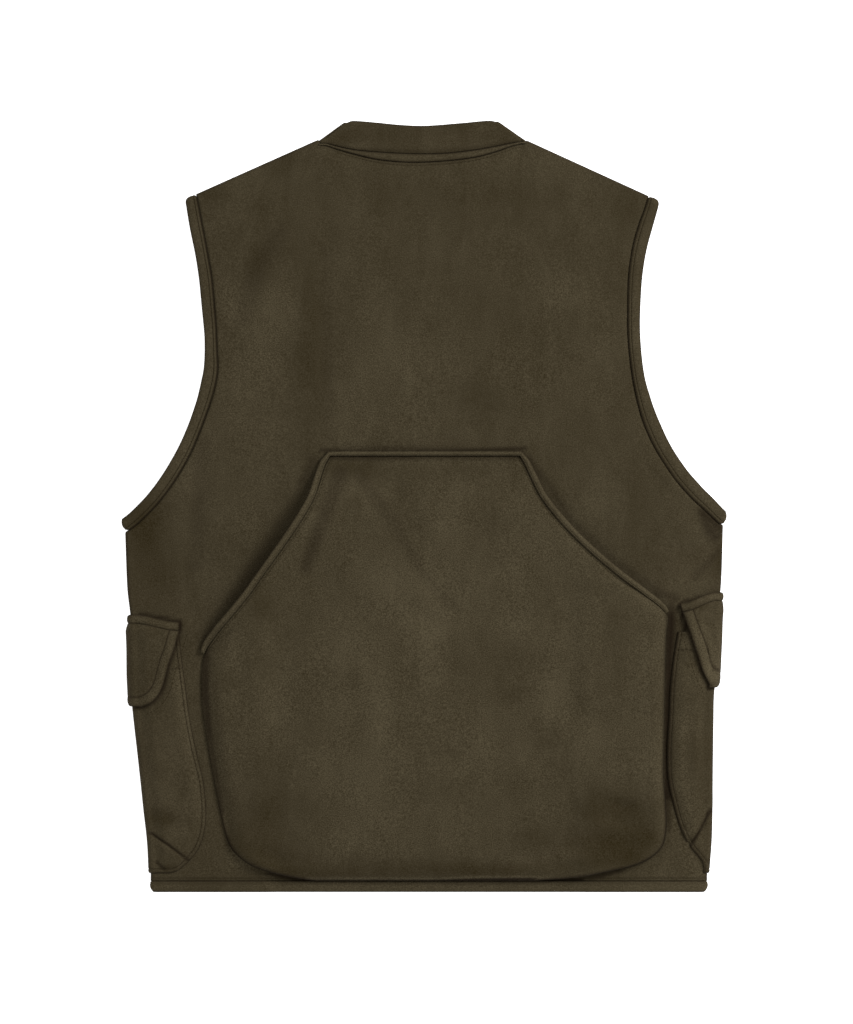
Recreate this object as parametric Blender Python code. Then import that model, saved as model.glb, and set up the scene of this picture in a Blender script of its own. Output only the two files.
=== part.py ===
"""A suede vest, laid flat on its fronts with the back upward.

The body is one flattened tube of cloth: the back lies on the two fronts, and both
turn round a U-shaped fold at each side and each shoulder. The side pockets and their
flaps wrap round the side folds. X runs across, Y up the garment, Z up from the floor.
"""

import math

import bmesh
import bpy
from mathutils import Vector

MM = 0.001

# Driving dimensions, in millimetres.
LENGTH = 731.7  # hem to the top of the collar
CLOTH = 2.0  # bonded suede
SEAM = 0.3  # between two pieces sewn to each other
BODY_SPACE = 2.0  # clear space between the back and the fronts
FOLD = (BODY_SPACE + CLOTH) / 2  # radius of the body's middle surface at a fold
LAYER = CLOTH + SEAM  # what one more layer of cloth adds
HEM_WIDTH = 10.2
BINDING_WIDTH = 10.4
BINDING_THICKNESS = 3.2
PROUD = (BINDING_THICKNESS - CLOTH) / 2  # a binding's middle above its panel's
PANEL_FOOT = HEM_WIDTH + SEAM
BINDING_EASE = 0.2  # extra room round an armhole
FRONT_GAP = 1.0  # between the edges of the two fronts
PANEL_END = 0.65  # a panel's edge stops this far short of the middle of a fold
SETTLE = 28.0  # how far a panel takes to come down off what lies under it
MARGIN = 14.0  # how far past a pocket's edge a panel is still held up
POCKET_WRAP = 176.0  # where pocket and flap end on the front, from the centre line
POCKET_BULGE = 2.8
FLAP_ROLL = 8.0  # depth of the flap's rolled top edge
FLAP_ROLL_RISE = 1.4
POUCH_RISE = 8.0  # how far the pouch stands off the back
POUCH_TURN = 12.0  # how far its sewn edges take to reach that
POUCH_TOP_RUN = 60.0
POUCH_FOOT = 11.6
POUCH_BINDING_THICKNESS = 4.0

# The side folds: height above the hem, then how far out the left and right folds lie.
SIDE_LINE = [
    # height, left, right
    (0, 259.8, 268.8),
    (20, 259.4, 268.9),
    (49, 260.8, 270.9),
    (78, 264.1, 271.7),
    (106, 267.0, 271.9),
    (135, 270.2, 272.2),
    (163, 273.3, 272.6),
    (190, 276.0, 273.2),
    (205, 276.8, 275.6),
    (234, 277.2, 277.5),
    (262, 278.6, 278.6),
    (285, 281.4, 281.4),
    (305, 282.5, 282.7),
    (350, 284.0, 284.0),
]

# The armhole seam from the underarm up to the shoulder.
ARMHOLE = {
    "left": [
        # height, distance from the centre line
        (340.0, 284.0),
        (343.8, 279.1),
        (349.5, 271.6),
        (369.7, 252.4),
        (394.1, 235.6),
        (429.5, 216.9),
        (467.0, 203.6),
        (522.1, 197.9),
        (571.5, 202.0),
        (619.0, 208.0),
        (662.7, 216.0),
    ],
    "right": [
        (347.2, 284.0),
        (349.2, 280.5),
        (362.5, 266.8),
        (373.9, 254.6),
        (394.1, 237.4),
        (429.5, 215.8),
        (467.0, 201.6),
        (519.3, 195.2),
        (571.5, 197.8),
        (619.0, 204.4),
        (661.0, 213.0),
    ],
}
SHOULDER = {  # the shoulder fold: at the armhole, then at the neck
    "left": ((-228.7, 657.0), (-101.0, 714.0)),
    "right": ((222.5, 656.5), (97.5, 713.6)),
}
UNDERARM_TURN = {"left": (-0.61, 0.79), "right": (0.46, 0.89)}  # the binding's way out

NECK_SEAM = [
    # across, foot of the neck band, foot of the collar
    (-93.0, 708.6, 710.6),
    (-82.0, 704.9, 707.6),
    (-66.0, 700.2, 704.4),
    (-44.0, 695.2, 702.4),
    (-15.0, 692.6, 700.9),
    (17.0, 693.6, 701.0),
    (48.0, 697.3, 704.3),
    (68.0, 702.4, 707.9),
    (82.0, 707.4, 710.6),
    (92.0, 710.2, 712.2),
]
COLLAR_TOP = [
    # across, height
    (-72.5, 729.6),
    (-68.0, 731.5),
    (-45.0, 730.0),
    (-23.0, 727.9),
    (0.0, 727.0),
    (34.0, 729.4),
    (62.0, 731.7),
    (67.5, 730.6),
]
COLLAR_FOLD = {  # the collar's end folds, foot and top
    "left": ((-98.5, 710.4), (-75.3, 727.2)),
    "right": ((95.6, 710.3), (69.6, 728.4)),
}
FRONT_NECK_DROP = 72.0
NECK_EASE = 4.0  # room between the collar's folds and the neck corners of the body
ROUNDING = 1e-6
COLLAR_STAND = 24.0

POCKET_EDGE = [
    # height, left and right inner edge on the back
    (18.5, 243.5, 267.5),
    (24.0, 235.0, 265.5),
    (32.0, 226.0, 259.5),
    (44.0, 215.5, 251.0),
    (60.0, 209.0, 243.8),
    (78.0, 207.3, 238.0),
    (106.0, 210.0, 231.8),
    (135.0, 217.0, 230.6),
    (168.0, 223.2, 232.6),
    (190.0, 226.0, 233.3),
    (220.0, 230.0, 236.4),
    (247.0, 233.2, 240.8),
]
# How many layers lie folded under the fronts, along the sides.
LAYERS_UNDER = [
    # height, left, right
    (135.0, 1.0, 1.0),
    (168.0, 2.0, 1.0),
    (190.0, 2.0, 2.0),
    (250.0, 2.0, 2.0),
    (268.0, 1.0, 1.5),
    (290.0, 0.4, 1.0),
    (306.0, 0.0, 0.45),
    (326.0, 0.0, 0.0),
]
FLAP_TOP = {"left": 256.0, "right": 274.0}  # height at its inner end
FLAP_CLIMB = {"left": 7.0, "right": 10.5}  # how much higher it is at the side fold
FLAP_EDGE = [
    # below the flap's top, left and right inner edge
    (0.0, 232.2, 243.0),
    (3.0, 232.0, 243.6),
    (8.0, 232.2, 245.4),
    (14.0, 234.2, 247.6),
    (26.0, 237.5, 251.8),
    (38.0, 241.9, 255.8),
    (50.0, 245.1, 259.8),
    (62.0, 248.6, 263.4),
    (70.0, 253.0, 267.0),
    (76.0, 259.0, 270.4),
    (79.5, 267.0, 272.6),
]

POUCH_EDGE = [
    # height, left and right edge of the pouch's panel
    (POUCH_FOOT, -104.0, 106.0),
    (14.5, -122.0, 142.0),
    (19.0, -143.0, 168.0),
    (27.0, -165.0, 202.0),
    (40.0, -180.4, 222.6),
    (56.0, -188.2, 228.6),
    (80.0, -193.6, 228.6),
    (110.0, -199.6, 226.4),
    (150.0, -206.4, 226.8),
    (190.0, -210.6, 227.4),
    (226.0, -208.0, 228.2),
    (246.0, -195.2, 228.8),
    (264.0, -180.0, 229.0),
    (282.0, -165.4, 208.0),
    (302.0, -151.3, 181.4),
    (331.0, -130.5, 148.2),
    (353.0, -115.8, 127.2),
    (374.0, -104.0, 110.8),
    (393.0, -97.8, 101.2),
    (406.0, -93.4, 95.2),
    (413.6, -89.0, 91.0),
]
POUCH_BOUND = [
    # height, width of the bound edge round the two openings and the top
    (226.0, 8.0),
    (302.0, 8.4),
    (374.0, 7.6),
    (406.0, 6.6),
    (413.6, 5.4),
]
POUCH_OPEN = {"left": 226.0, "right": 264.0}  # how high the foot of each opening is
OPEN_RUN = 45.0  # how far an opening takes to gape
POUCH_STEPS = [0.0, 0.5, 2.2, 5.5, 11.0]  # in from its edges, so that they turn round
POCKET_CORNER = 30.0
POCKET_SLOPE = 14.0  # how far the pocket takes to bulge
FLAP_EASE = 0.8  # extra room between the flap and what it lies on
FLAP_STEP = 9.0  # how far the flap takes to climb over the pocket's mouth
FOLD_STEPS = 6
COLLAR_ROWS = [0.0, 0.3, 0.65, 1.0]
SHOULDER_SLOPE = 24.0  # degrees
TURN_SHARE = 0.1  # of the armhole: a binding turns to meet the folds over its ends
TUCK_SHARE = 0.06  # of the armhole: a binding keeps clear of the panels' underarm corner
TOP_LEAN = 1.6  # how strongly the rows under a panel's top edge follow its shape

# Colour, roughness and metallic value of the suede.
SUEDE = ((0.046, 0.036, 0.021), 0.93, 0.0)
SUEDE_EDGE = ((0.040, 0.031, 0.018), 0.95, 0.0)

SIGN = {"left": -1.0, "right": 1.0}
COLUMN = {"left": 1, "right": 2}
QUARTER = FOLD * math.pi / 2
END_IN = FOLD - math.sqrt(FOLD**2 - PANEL_END**2)  # the panels' edges, in from a fold
SLOPED = math.cos(math.radians(SHOULDER_SLOPE))
SHOULDER_IN = (CLOTH / 2 + END_IN) / SLOPED  # the same, down a shoulder


def read(table, at, column=1):
    """A table's column at a value of its first column, as a smooth curve through its rows."""
    at = min(max(at, table[0][0]), table[-1][0])
    k = 1
    while k < len(table) - 1 and table[k][0] < at:
        k += 1

    def slope(i):
        low, high = table[max(i - 1, 0)], table[min(i + 1, len(table) - 1)]
        return (high[column] - low[column]) / (high[0] - low[0])

    a, b = table[k - 1], table[k]
    run = b[0] - a[0]
    t = (at - a[0]) / run
    start, end = slope(k - 1) * run, slope(k) * run
    rise = b[column] - a[column]
    bend, twist = 3 * rise - 2 * start - end, start + end - 2 * rise
    return a[column] + start * t + bend * t**2 + twist * t**3


def smooth(t):
    t = min(max(t, 0.0), 1.0)
    return t * t * (3 - 2 * t)


def side_of(x):
    return "left" if x < 0 else "right"


def side_line(side, height):
    """How far out the body's middle surface reaches at a side fold."""
    return read(SIDE_LINE, height, COLUMN[side]) - CLOTH / 2


def under(height, column):
    """Layers under the fronts at a height, in straight runs between the table's rows."""
    rows = LAYERS_UNDER
    if height <= rows[0][0]:
        return rows[0][column]
    for low, high in zip(rows, rows[1:]):
        if height <= high[0]:
            share = (height - low[0]) / (high[0] - low[0])
            return low[column] + share * (high[column] - low[column])
    return rows[-1][column]


def lift(x, height):
    """How high the fronts lie, over the pockets and the flaps that are folded under them."""
    beside = 1 - smooth((POCKET_WRAP - abs(x) - MARGIN) / SETTLE)
    return LAYER * beside * under(height, COLUMN[side_of(x)])


def centre(x, height):
    """Height of the middle of the body, between the back and the fronts."""
    return lift(x, height) + CLOTH / 2 + FOLD


def from_line(x, height, line):
    """Distance from a straight fold, inwards."""
    (ax, ay), (bx, by) = line
    return abs((bx - ax) * (height - ay) - (by - ay) * (x - ax)) / math.hypot(bx - ax, by - ay)


def body_point(x, height, layer):
    """A point of the back (layer 1) or of a front (layer -1), turned down at the folds."""
    side = side_of(x)
    inside = min(
        side_line(side, height) - abs(x),
        from_line(x, height, SHOULDER[side]) - CLOTH / 2,
        FOLD,
    )
    inside = max(inside, 0.0)
    rise = max(math.sqrt(FOLD**2 - (FOLD - inside) ** 2), PANEL_END)
    return Vector((x, height, centre(x, height) + layer * rise))


def wrap_point(side, along, height, out):
    """A point wrapped round a side fold: along is the cloth's way from the fold, positive
    on the back, and out is its distance from the body's middle surface."""
    middle = side_line(side, height) - FOLD
    if abs(along) < QUARTER:
        angle = along / FOLD
        x = middle + (FOLD + out) * math.cos(angle)
        z = (FOLD + out) * math.sin(angle)
        held = middle
    else:
        x = middle - (abs(along) - QUARTER)
        z = math.copysign(FOLD + out, along)
        held = x
    return Vector((SIGN[side] * x, height, centre(SIGN[side] * held, height) + z))


def along_for(side, x, height):
    """How far a place on the flat back is from the side fold, along the cloth."""
    return QUARTER + max(side_line(side, height) - FOLD - x, 0.6)


def origin(point):
    """Moves a point from the hem's frame to the part's, in metres."""
    return Vector((point.x, point.y - LENGTH / 2, point.z)) * MM


def grid(rows):
    """A bmesh sheet through rows of points."""
    mesh = bmesh.new()
    bmesh.ops.create_grid(mesh, x_segments=len(rows[0]) - 1, y_segments=len(rows) - 1, size=1)
    mesh.verts.ensure_lookup_table()
    for i, row in enumerate(rows):
        for j, point in enumerate(row):
            mesh.verts[i * len(row) + j].co = origin(point)
    return mesh


def material(name, finish):
    colour, roughness, metallic = finish
    made = bpy.data.materials.new(name)
    made.use_nodes = True
    shader = made.node_tree.nodes["Principled BSDF"]
    shader.inputs["Base Color"].default_value = (*colour, 1)
    shader.inputs["Roughness"].default_value = roughness
    shader.inputs["Metallic"].default_value = metallic
    return made


def add(name, mesh, finish):
    bmesh.ops.recalc_face_normals(mesh, faces=mesh.faces[:])
    data = bpy.data.meshes.new(name)
    mesh.to_mesh(data)
    mesh.free()
    data.materials.append(material(name, finish))
    data.shade_smooth()
    made = bpy.data.objects.new(name, data)
    bpy.context.scene.collection.objects.link(made)
    return made


def panel(name, rows, finish=SUEDE, thickness=CLOTH):
    """A wall of cloth on the sheet through these points."""
    made = add(name, grid(rows), finish)
    wall = made.modifiers.new("Cloth", "SOLIDIFY")
    wall.thickness = thickness * MM
    wall.offset = 0
    return made


# A binding's section: how far across its width, and how far up its thickness.
BOUND = [
    (0.0, -0.30),
    (0.0, 0.30),
    (0.22, 0.48),
    (0.62, 0.5),
    (0.92, 0.32),
    (1.0, 0.0),
    (0.92, -0.32),
    (0.62, -0.5),
    (0.22, -0.48),
]


def binding(name, stations, closed=False, finish=SUEDE_EDGE):
    """A strip swept through stations of foot, way across, way up, width and thickness."""
    rows = []
    for foot, across, up, width, thickness in stations:
        row = [foot + across * (w * width) + up * (t * thickness) for w, t in BOUND]
        rows.append(row + row[:1])
    if closed:
        rows.append(rows[0])
    mesh = grid(rows)
    bmesh.ops.remove_doubles(mesh, verts=mesh.verts[:], dist=1e-7)
    if not closed:
        bmesh.ops.holes_fill(mesh, edges=mesh.edges[:], sides=0)
    return add(name, mesh, finish)


UP = Vector((0, 0, 1))


def turn(at, outward, steps):
    """The way round a fold: places and thickness directions, from the back to the front."""
    for k in range(1, steps):
        angle = math.pi / 2 - math.pi * k / steps
        around = outward * math.cos(angle) + UP * math.sin(angle)
        yield at + around * FOLD, around


def shoulder_height(side, x):
    (ax, ay), (bx, by) = SHOULDER[side]
    return ay + (by - ay) * (x - ax) / (bx - ax)


def front_neck(x):
    """Height of the front neckline, an ellipse between the two collar folds."""
    foot_x, foot_y = COLLAR_FOLD[side_of(x)][0]
    part = min(abs(x / foot_x), 1.0)
    return foot_y - FRONT_NECK_DROP * math.sqrt(1 - part**2)


def top_edge(x, layer):
    """Height of a body panel's upper edge: its shoulders and its neckline."""
    side = side_of(x)
    foot_x, foot_y = COLLAR_FOLD[side][0]
    neck = abs(foot_x) + NECK_EASE
    shoulder = shoulder_height(side, x) - SHOULDER_IN
    if abs(x) >= neck - ROUNDING:
        return shoulder
    if layer > 0:
        return min(read(NECK_SEAM, x) - SEAM, shoulder)
    return foot_y - (FRONT_NECK_DROP + SEAM) * math.sqrt(1 - (x / neck) ** 2)


FLAT_ROWS = [PANEL_FOOT, 24, 44, 66, 98, 135, 168, 190, 220, 250, 268, 290, 306, 326]
ARM_ROWS = [0.0, 0.03, 0.07, 0.13, 0.21, 0.31, 0.43, 0.55, 0.68, 0.8, 0.9, 0.96]
SHOULDER_ROWS = [0.982, 0.993, 0.9969, 0.9991, 1.0]  # close, round the shoulder fold
BACK_SHARES = [0.07, 0.15, 0.22, 0.2644, 0.276, 0.305, 0.345, 0.4, 0.46]
BACK_SHARES += [1 - share for share in BACK_SHARES[::-1]]
FRONT_SHARES = [0.13, 0.26, 0.38, 0.47]  # from a side to its neck corner
NECK_SHARES = [0.0, 0.022, 0.065, 0.135, 0.225, 0.335]  # on from the neck corner
EDGE_STEPS = [0.0, 0.24, 0.9, 2.0, 5.0]  # from a side fold, so that its bend is round


def edge_rows(side):
    """A panel's edge, row by row: up the side fold, then round the armhole. Each row has
    its distance from the centre line, its height and its share of the armhole."""
    seam = ARMHOLE[side]
    heights = FLAT_ROWS + [seam[0][0]]
    rows = [(side_line(side, height) - END_IN, height, 0.0) for height in heights]
    foot, head = seam[1][0], seam[-1][0]
    for share in ARM_ROWS + SHOULDER_ROWS:
        height = foot + share * (head - foot)
        rows.append((read(seam, height), height, share))
    return rows


def panel_rows(layer, columns_for):
    """Rows of a body panel. columns_for gives a row's places from its left and right ends."""
    lefts, rights = edge_rows("left"), edge_rows("right")
    rows = []
    for (left_x, left_y, share), (right_x, right_y, _) in zip(lefts, rights):
        points = []
        for x in columns_for(-left_x, right_x):
            part = (x + left_x) / (left_x + right_x)
            top_x = -lefts[-1][0] + part * (lefts[-1][0] + rights[-1][0])
            top_y = lefts[-1][1] + part * (rights[-1][1] - lefts[-1][1])
            height = left_y + part * (right_y - left_y)
            height += (top_edge(top_x, layer) - top_y) * share**TOP_LEAN
            points.append(body_point(x, height, layer))
        rows.append(points)
    return rows


def back_columns(left, right):
    inner = [left + share * (right - left) for share in BACK_SHARES]
    return [left + s for s in EDGE_STEPS] + inner + [right - s for s in EDGE_STEPS[::-1]]


def front_shares(side):
    """Places across a front, as shares of its width, with one at its neck corner."""
    edge = ARMHOLE[side][-1][1]
    corner = abs(COLLAR_FOLD[side][0][0]) + NECK_EASE
    neck = (edge - corner) / (edge - FRONT_GAP / 2)
    return FRONT_SHARES + [neck + share for share in NECK_SHARES] + [1.0]


def left_columns(left, right):
    inner = [left + share * (-FRONT_GAP / 2 - left) for share in front_shares("left")]
    return [left + s for s in EDGE_STEPS] + inner


def right_columns(left, right):
    inner = [right + share * (FRONT_GAP / 2 - right) for share in front_shares("right")]
    return inner[::-1] + [right - s for s in EDGE_STEPS[::-1]]


def make_body():
    """Makes the back and the fronts, and gives the back's and the fronts' neck edges."""
    sheets = {
        "back": panel_rows(1, back_columns),
        "front_left": panel_rows(-1, left_columns),
        "front_right": panel_rows(-1, right_columns),
    }
    necks = {}
    for name, rows in sheets.items():
        panel(name, rows)
        places = [p.x for p in rows[-1]]
        necks[name] = [x for x in places if abs(x) < abs(COLLAR_FOLD[side_of(x)][0][0]) - 1]
    return necks


def make_armhole_binding(side):
    """A closed ring: up the back's armhole, over the shoulder, and down the front's."""
    sign = SIGN[side]
    turn_foot = Vector((*UNDERARM_TURN[side], 0)).normalized()
    (ax, ay), (bx, by) = SHOULDER[side]
    turn_head = Vector((ax - bx, ay - by, 0)).normalized()
    seam = edge_rows(side)[len(FLAT_ROWS) + 1 :]
    seam = [row for row in seam if row[2] not in SHOULDER_ROWS[:-1]]
    back = []
    for k, (x, height, share) in enumerate(seam):
        before, after = seam[max(k - 1, 0)], seam[min(k + 1, len(seam) - 1)]
        out = Vector((sign * (after[1] - before[1]), before[0] - after[0], 0)).normalized()
        out = out.lerp(turn_foot, 1 - smooth(share / TURN_SHARE))
        out = out.lerp(turn_head, smooth((share - 1 + TURN_SHARE) / TURN_SHARE)).normalized()
        room = SEAM + BINDING_EASE + CLOTH / 2 * (1 - smooth(share / TUCK_SHARE))
        back.append((Vector((sign * x, height, 0)) + out * room, out))
    head_up = Vector((turn_head.y, -turn_head.x, 0)) * -sign
    head = ARMHOLE[side][-1][0] - (CLOTH / 2 + FOLD) / SLOPED
    end = Vector((sign * read(ARMHOLE[side], head), head, 0))
    back[-1] = (end + turn_head * (SEAM + BINDING_EASE), turn_head)

    def flat(place, out, layer):
        z = centre(place.x, place.y) + layer * FOLD + PROUD
        return (Vector((place.x, place.y, z)), out, UP * layer, BINDING_WIDTH, BINDING_THICKNESS)

    def fold(place, out, outward):
        at = Vector((place.x, place.y, centre(place.x, place.y) + PROUD))
        return [
            (spot, out, around, BINDING_WIDTH, BINDING_THICKNESS)
            for spot, around in turn(at, outward, FOLD_STEPS)
        ]

    stations = [flat(place, out, 1) for place, out in back]
    stations += fold(*back[-1], head_up)
    stations += [flat(place, out, -1) for place, out in reversed(back)]
    foot_down = Vector((-turn_foot.y, turn_foot.x, 0)) * -sign
    stations += reversed(fold(*back[0], foot_down))
    binding("armhole_binding_" + side, stations, closed=True)


def make_hem():
    """The band on the hem, from one front edge round the back to the other."""
    down = Vector((0, -1, 0))

    def station(side, along):
        at = wrap_point(side, along, HEM_WIDTH, 0.0) + UP * PROUD
        around = UP if along > 0 else -UP
        if abs(along) < QUARTER:
            angle = along / FOLD
            around = Vector((SIGN[side] * math.cos(angle), 0, math.sin(angle)))
        return (at, down, around, HEM_WIDTH, BINDING_THICKNESS)

    bend = [QUARTER * k / 3 for k in range(-3, 4)]
    shares = [1.0, 0.88, 0.74, 0.6, 0.46, 0.32, 0.18, 0.06]
    paths = {}
    for side in SIGN:
        run = side_line(side, HEM_WIDTH) - FOLD - FRONT_GAP / 2
        reach = [QUARTER + run * share for share in shares]
        paths[side] = [station(side, a) for a in [-a for a in reach] + bend + reach[::-1]]
    binding("hem_band", paths["left"] + paths["right"][::-1])


def make_neck_band(places):
    """The padded ridge under the collar seam, widest at the centre back."""
    stations = []
    for x in places[1:-1]:
        place = body_point(x, read(NECK_SEAM, x), 1)
        width = read(NECK_SEAM, x, 2) - place.y - SEAM
        stations.append((place + UP * PROUD, Vector((0, 1, 0)), UP, width, BINDING_THICKNESS))
    binding("neck_band", stations)


def make_collar(necks):
    """The stand collar: one strip from front edge to front edge, folded at both ends."""
    columns = []

    def column(foot, top, z):
        columns.append([Vector((*foot.lerp(top, share), z)) for share in COLLAR_ROWS])

    def front(side, places):
        foot_end, top_end = (Vector(end) for end in COLLAR_FOLD[side])
        low = foot_end.y - FRONT_NECK_DROP + COLLAR_STAND
        for x in places:
            part = min(x / foot_end.x, 1.0)
            foot = Vector((x, front_neck(x)))
            depth = math.sqrt(1 - part**2)
            top = Vector((top_end.x * part, top_end.y + (low - top_end.y) * depth))
            column(foot, top, centre(foot.x, foot.y) - FOLD)

    def fold(side, order):
        foot, top = (Vector(end) for end in COLLAR_FOLD[side])
        way = (top - foot).normalized()
        outward = Vector((way.y, -way.x, 0)) * SIGN[side]
        turned = list(turn(Vector((0, 0, centre(foot.x, foot.y))), outward, FOLD_STEPS))
        for spot, _ in turned[::order]:
            shift = Vector((spot.x, spot.y))
            column(foot + shift, top + shift, spot.z)

    (left_foot, left_top), (right_foot, right_top) = (COLLAR_FOLD[s] for s in SIGN)
    front("left", necks["front_left"][::-1] + [left_foot[0]])
    fold("left", -1)
    for x in [left_foot[0]] + necks["back"] + [right_foot[0]]:
        share = (x - left_foot[0]) / (right_foot[0] - left_foot[0])
        top_x = left_top[0] + share * (right_top[0] - left_top[0])
        foot = Vector((x, read(NECK_SEAM, x, 2)))
        column(foot, Vector((top_x, read(COLLAR_TOP, top_x))), centre(x, foot.y) + FOLD)
    fold("right", 1)
    front("right", [right_foot[0]] + necks["front_right"][::-1])
    panel("collar", columns)


def pocket_front_edge(height):
    """Where the pocket ends on the front, with a round lower corner."""
    part = min(max((height - POCKET_EDGE[0][0]) / POCKET_CORNER, 0.0), 1.0)
    return POCKET_WRAP + POCKET_CORNER * (1 - math.sqrt(1 - (1 - part) ** 2))


def pocket_bulge(side, along, height):
    """How far the pocket's back part stands off the body inside its edges."""
    edge = along_for(side, read(POCKET_EDGE, height, COLUMN[side]), height)
    foot = height - POCKET_EDGE[0][0]
    inside = smooth(min(edge - along, foot) / POCKET_SLOPE)
    return POCKET_BULGE * inside * smooth((along - QUARTER) / POCKET_SLOPE)


def wrapped_places(front, back):
    """Places across a wrapped piece, from its front edge round the fold to its back edge."""
    bend = [QUARTER * k / 3 for k in range(-3, 4)]
    inner = [-QUARTER - share * (front - QUARTER) for share in (1.0, 0.8, 0.5, 0.2)]
    outer = [QUARTER + share * (back - QUARTER) for share in (0.1, 0.25, 0.5, 0.75, 0.9, 0.97, 1.0)]
    return inner + bend + outer


def make_pocket(side):
    rows = []
    for height, *_ in POCKET_EDGE:
        back = along_for(side, read(POCKET_EDGE, height, COLUMN[side]), height)
        front = along_for(side, pocket_front_edge(height), height)
        rows.append([
            wrap_point(side, a, height, LAYER + pocket_bulge(side, a, height))
            for a in wrapped_places(front, back)
        ])
    panel("pocket_" + side, rows)


def make_flap(side):
    rows = []
    for drop, *_ in FLAP_EDGE:
        inner = read(FLAP_EDGE, drop, COLUMN[side])
        level = FLAP_TOP[side] - drop
        back = along_for(side, inner, level)
        front_x = POCKET_WRAP + inner - FLAP_EDGE[0][COLUMN[side]]
        front = along_for(side, front_x, level)
        row = []
        for along in wrapped_places(front, back):
            climb = FLAP_CLIMB[side] * smooth((back - along) / (back - QUARTER))
            height = level + climb
            over = smooth((POCKET_EDGE[-1][0] + FLAP_STEP - height) / FLAP_STEP)
            out = LAYER * (1 + over) + pocket_bulge(side, along, min(height, POCKET_EDGE[-1][0]))
            on_back = smooth(1 + along / QUARTER)
            out += FLAP_EASE * on_back
            if drop < FLAP_ROLL:  # the rolled top edge stands up a little
                out += FLAP_ROLL_RISE * on_back * math.sin(math.pi * drop / FLAP_ROLL)
            row.append(wrap_point(side, along, height, out))
        rows.append(row)
    panel("flap_" + side, rows)


def pouch_rise(x, height):
    """How far the pouch stands off the back: nothing at its seams, most inside them."""
    left, right = read(POUCH_EDGE, height, 1), read(POUCH_EDGE, height, 2)
    near = min(max(min(x - left, right - x, height - POUCH_FOOT) / POUCH_TURN, 0.0), 1.0)
    sewn = math.sqrt(1 - (1 - near) ** 2)
    gape = smooth((height - POUCH_OPEN["left" if x - left < right - x else "right"]) / OPEN_RUN)
    top = smooth((POUCH_EDGE[-1][0] - height) / POUCH_TOP_RUN)
    return POUCH_RISE * top * max(sewn, gape)


def pouch_point(x, height):
    z = centre(x, height) + FOLD + LAYER + pouch_rise(x, height)
    return Vector((x, height, z))


def make_pouch():
    """The pouch's panel, and the bound edge over its two openings and its top."""
    shares = [0.12, 0.22, 0.33, 0.44, 0.56, 0.67, 0.78, 0.88]
    rows = []
    for height, left, right in POUCH_EDGE:
        inner = [left + share * (right - left) for share in shares]
        places = [left + s for s in POUCH_STEPS] + inner + [right - s for s in POUCH_STEPS[::-1]]
        rows.append([pouch_point(x, height) for x in places])
    panel("pouch", rows)

    left = [row[0] for row in rows if row[0].y >= POUCH_OPEN["left"]]
    right = [row[-1] for row in rows if row[-1].y >= POUCH_OPEN["right"]]
    # Near its corners the top's places lie closer than the bound edge is wide.
    close = len(POUCH_STEPS)
    path = left + rows[-1][close:-close] + right[::-1]
    proud = (POUCH_BINDING_THICKNESS - CLOTH) / 2
    stations = []
    for k, place in enumerate(path):
        before, after = path[max(k - 1, 0)], path[min(k + 1, len(path) - 1)]
        arrive, leave = (place - before).xy, (after - place).xy
        way = (arrive.normalized() if k else leave.normalized()) + leave.normalized()
        across = Vector((-way.y, way.x, 0)).normalized()
        width = read(POUCH_BOUND, place.y)
        tuck = CLOTH / 2 * (1 - smooth((place.y - POUCH_OPEN[side_of(place.x)]) / OPEN_RUN))
        foot = place + across * (SEAM + tuck) + UP * proud
        stations.append((foot, across, UP, width, POUCH_BINDING_THICKNESS))
    binding("pouch_binding", stations)


def main():
    for old in list(bpy.data.objects):
        bpy.data.objects.remove(old)
    necks = make_body()
    make_collar(necks)
    make_neck_band(necks["back"])
    make_hem()
    make_pouch()
    for side in SIGN:
        make_armhole_binding(side)
        make_pocket(side)
        make_flap(side)


main()
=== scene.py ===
"""A suede vest that lies flat, back upward: its cloth, seams and stitching, light and camera."""

import math

import bmesh
import bpy
import numpy as np
from mathutils import Matrix, Vector, noise


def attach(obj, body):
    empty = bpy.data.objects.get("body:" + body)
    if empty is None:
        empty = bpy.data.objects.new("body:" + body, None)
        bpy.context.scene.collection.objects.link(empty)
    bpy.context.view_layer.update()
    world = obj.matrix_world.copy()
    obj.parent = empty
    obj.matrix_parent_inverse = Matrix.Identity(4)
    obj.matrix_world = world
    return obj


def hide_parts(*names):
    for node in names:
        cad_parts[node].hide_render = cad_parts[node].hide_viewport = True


bl_info = {
    "name": "Suede vest",
    "version": (1, 0, 0),
    "blender": (4, 5, 0),
    "location": "View3D > Sidebar > Vest",
    "description": "A suede vest that lies flat, back upward",
    "category": "Add Mesh",
}

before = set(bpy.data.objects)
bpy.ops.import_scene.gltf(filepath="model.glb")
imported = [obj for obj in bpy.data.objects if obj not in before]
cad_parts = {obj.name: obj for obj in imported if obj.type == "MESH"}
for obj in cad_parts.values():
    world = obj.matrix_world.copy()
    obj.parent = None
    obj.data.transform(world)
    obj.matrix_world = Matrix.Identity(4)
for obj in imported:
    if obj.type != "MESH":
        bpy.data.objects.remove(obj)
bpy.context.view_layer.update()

MM = 0.001

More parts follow.
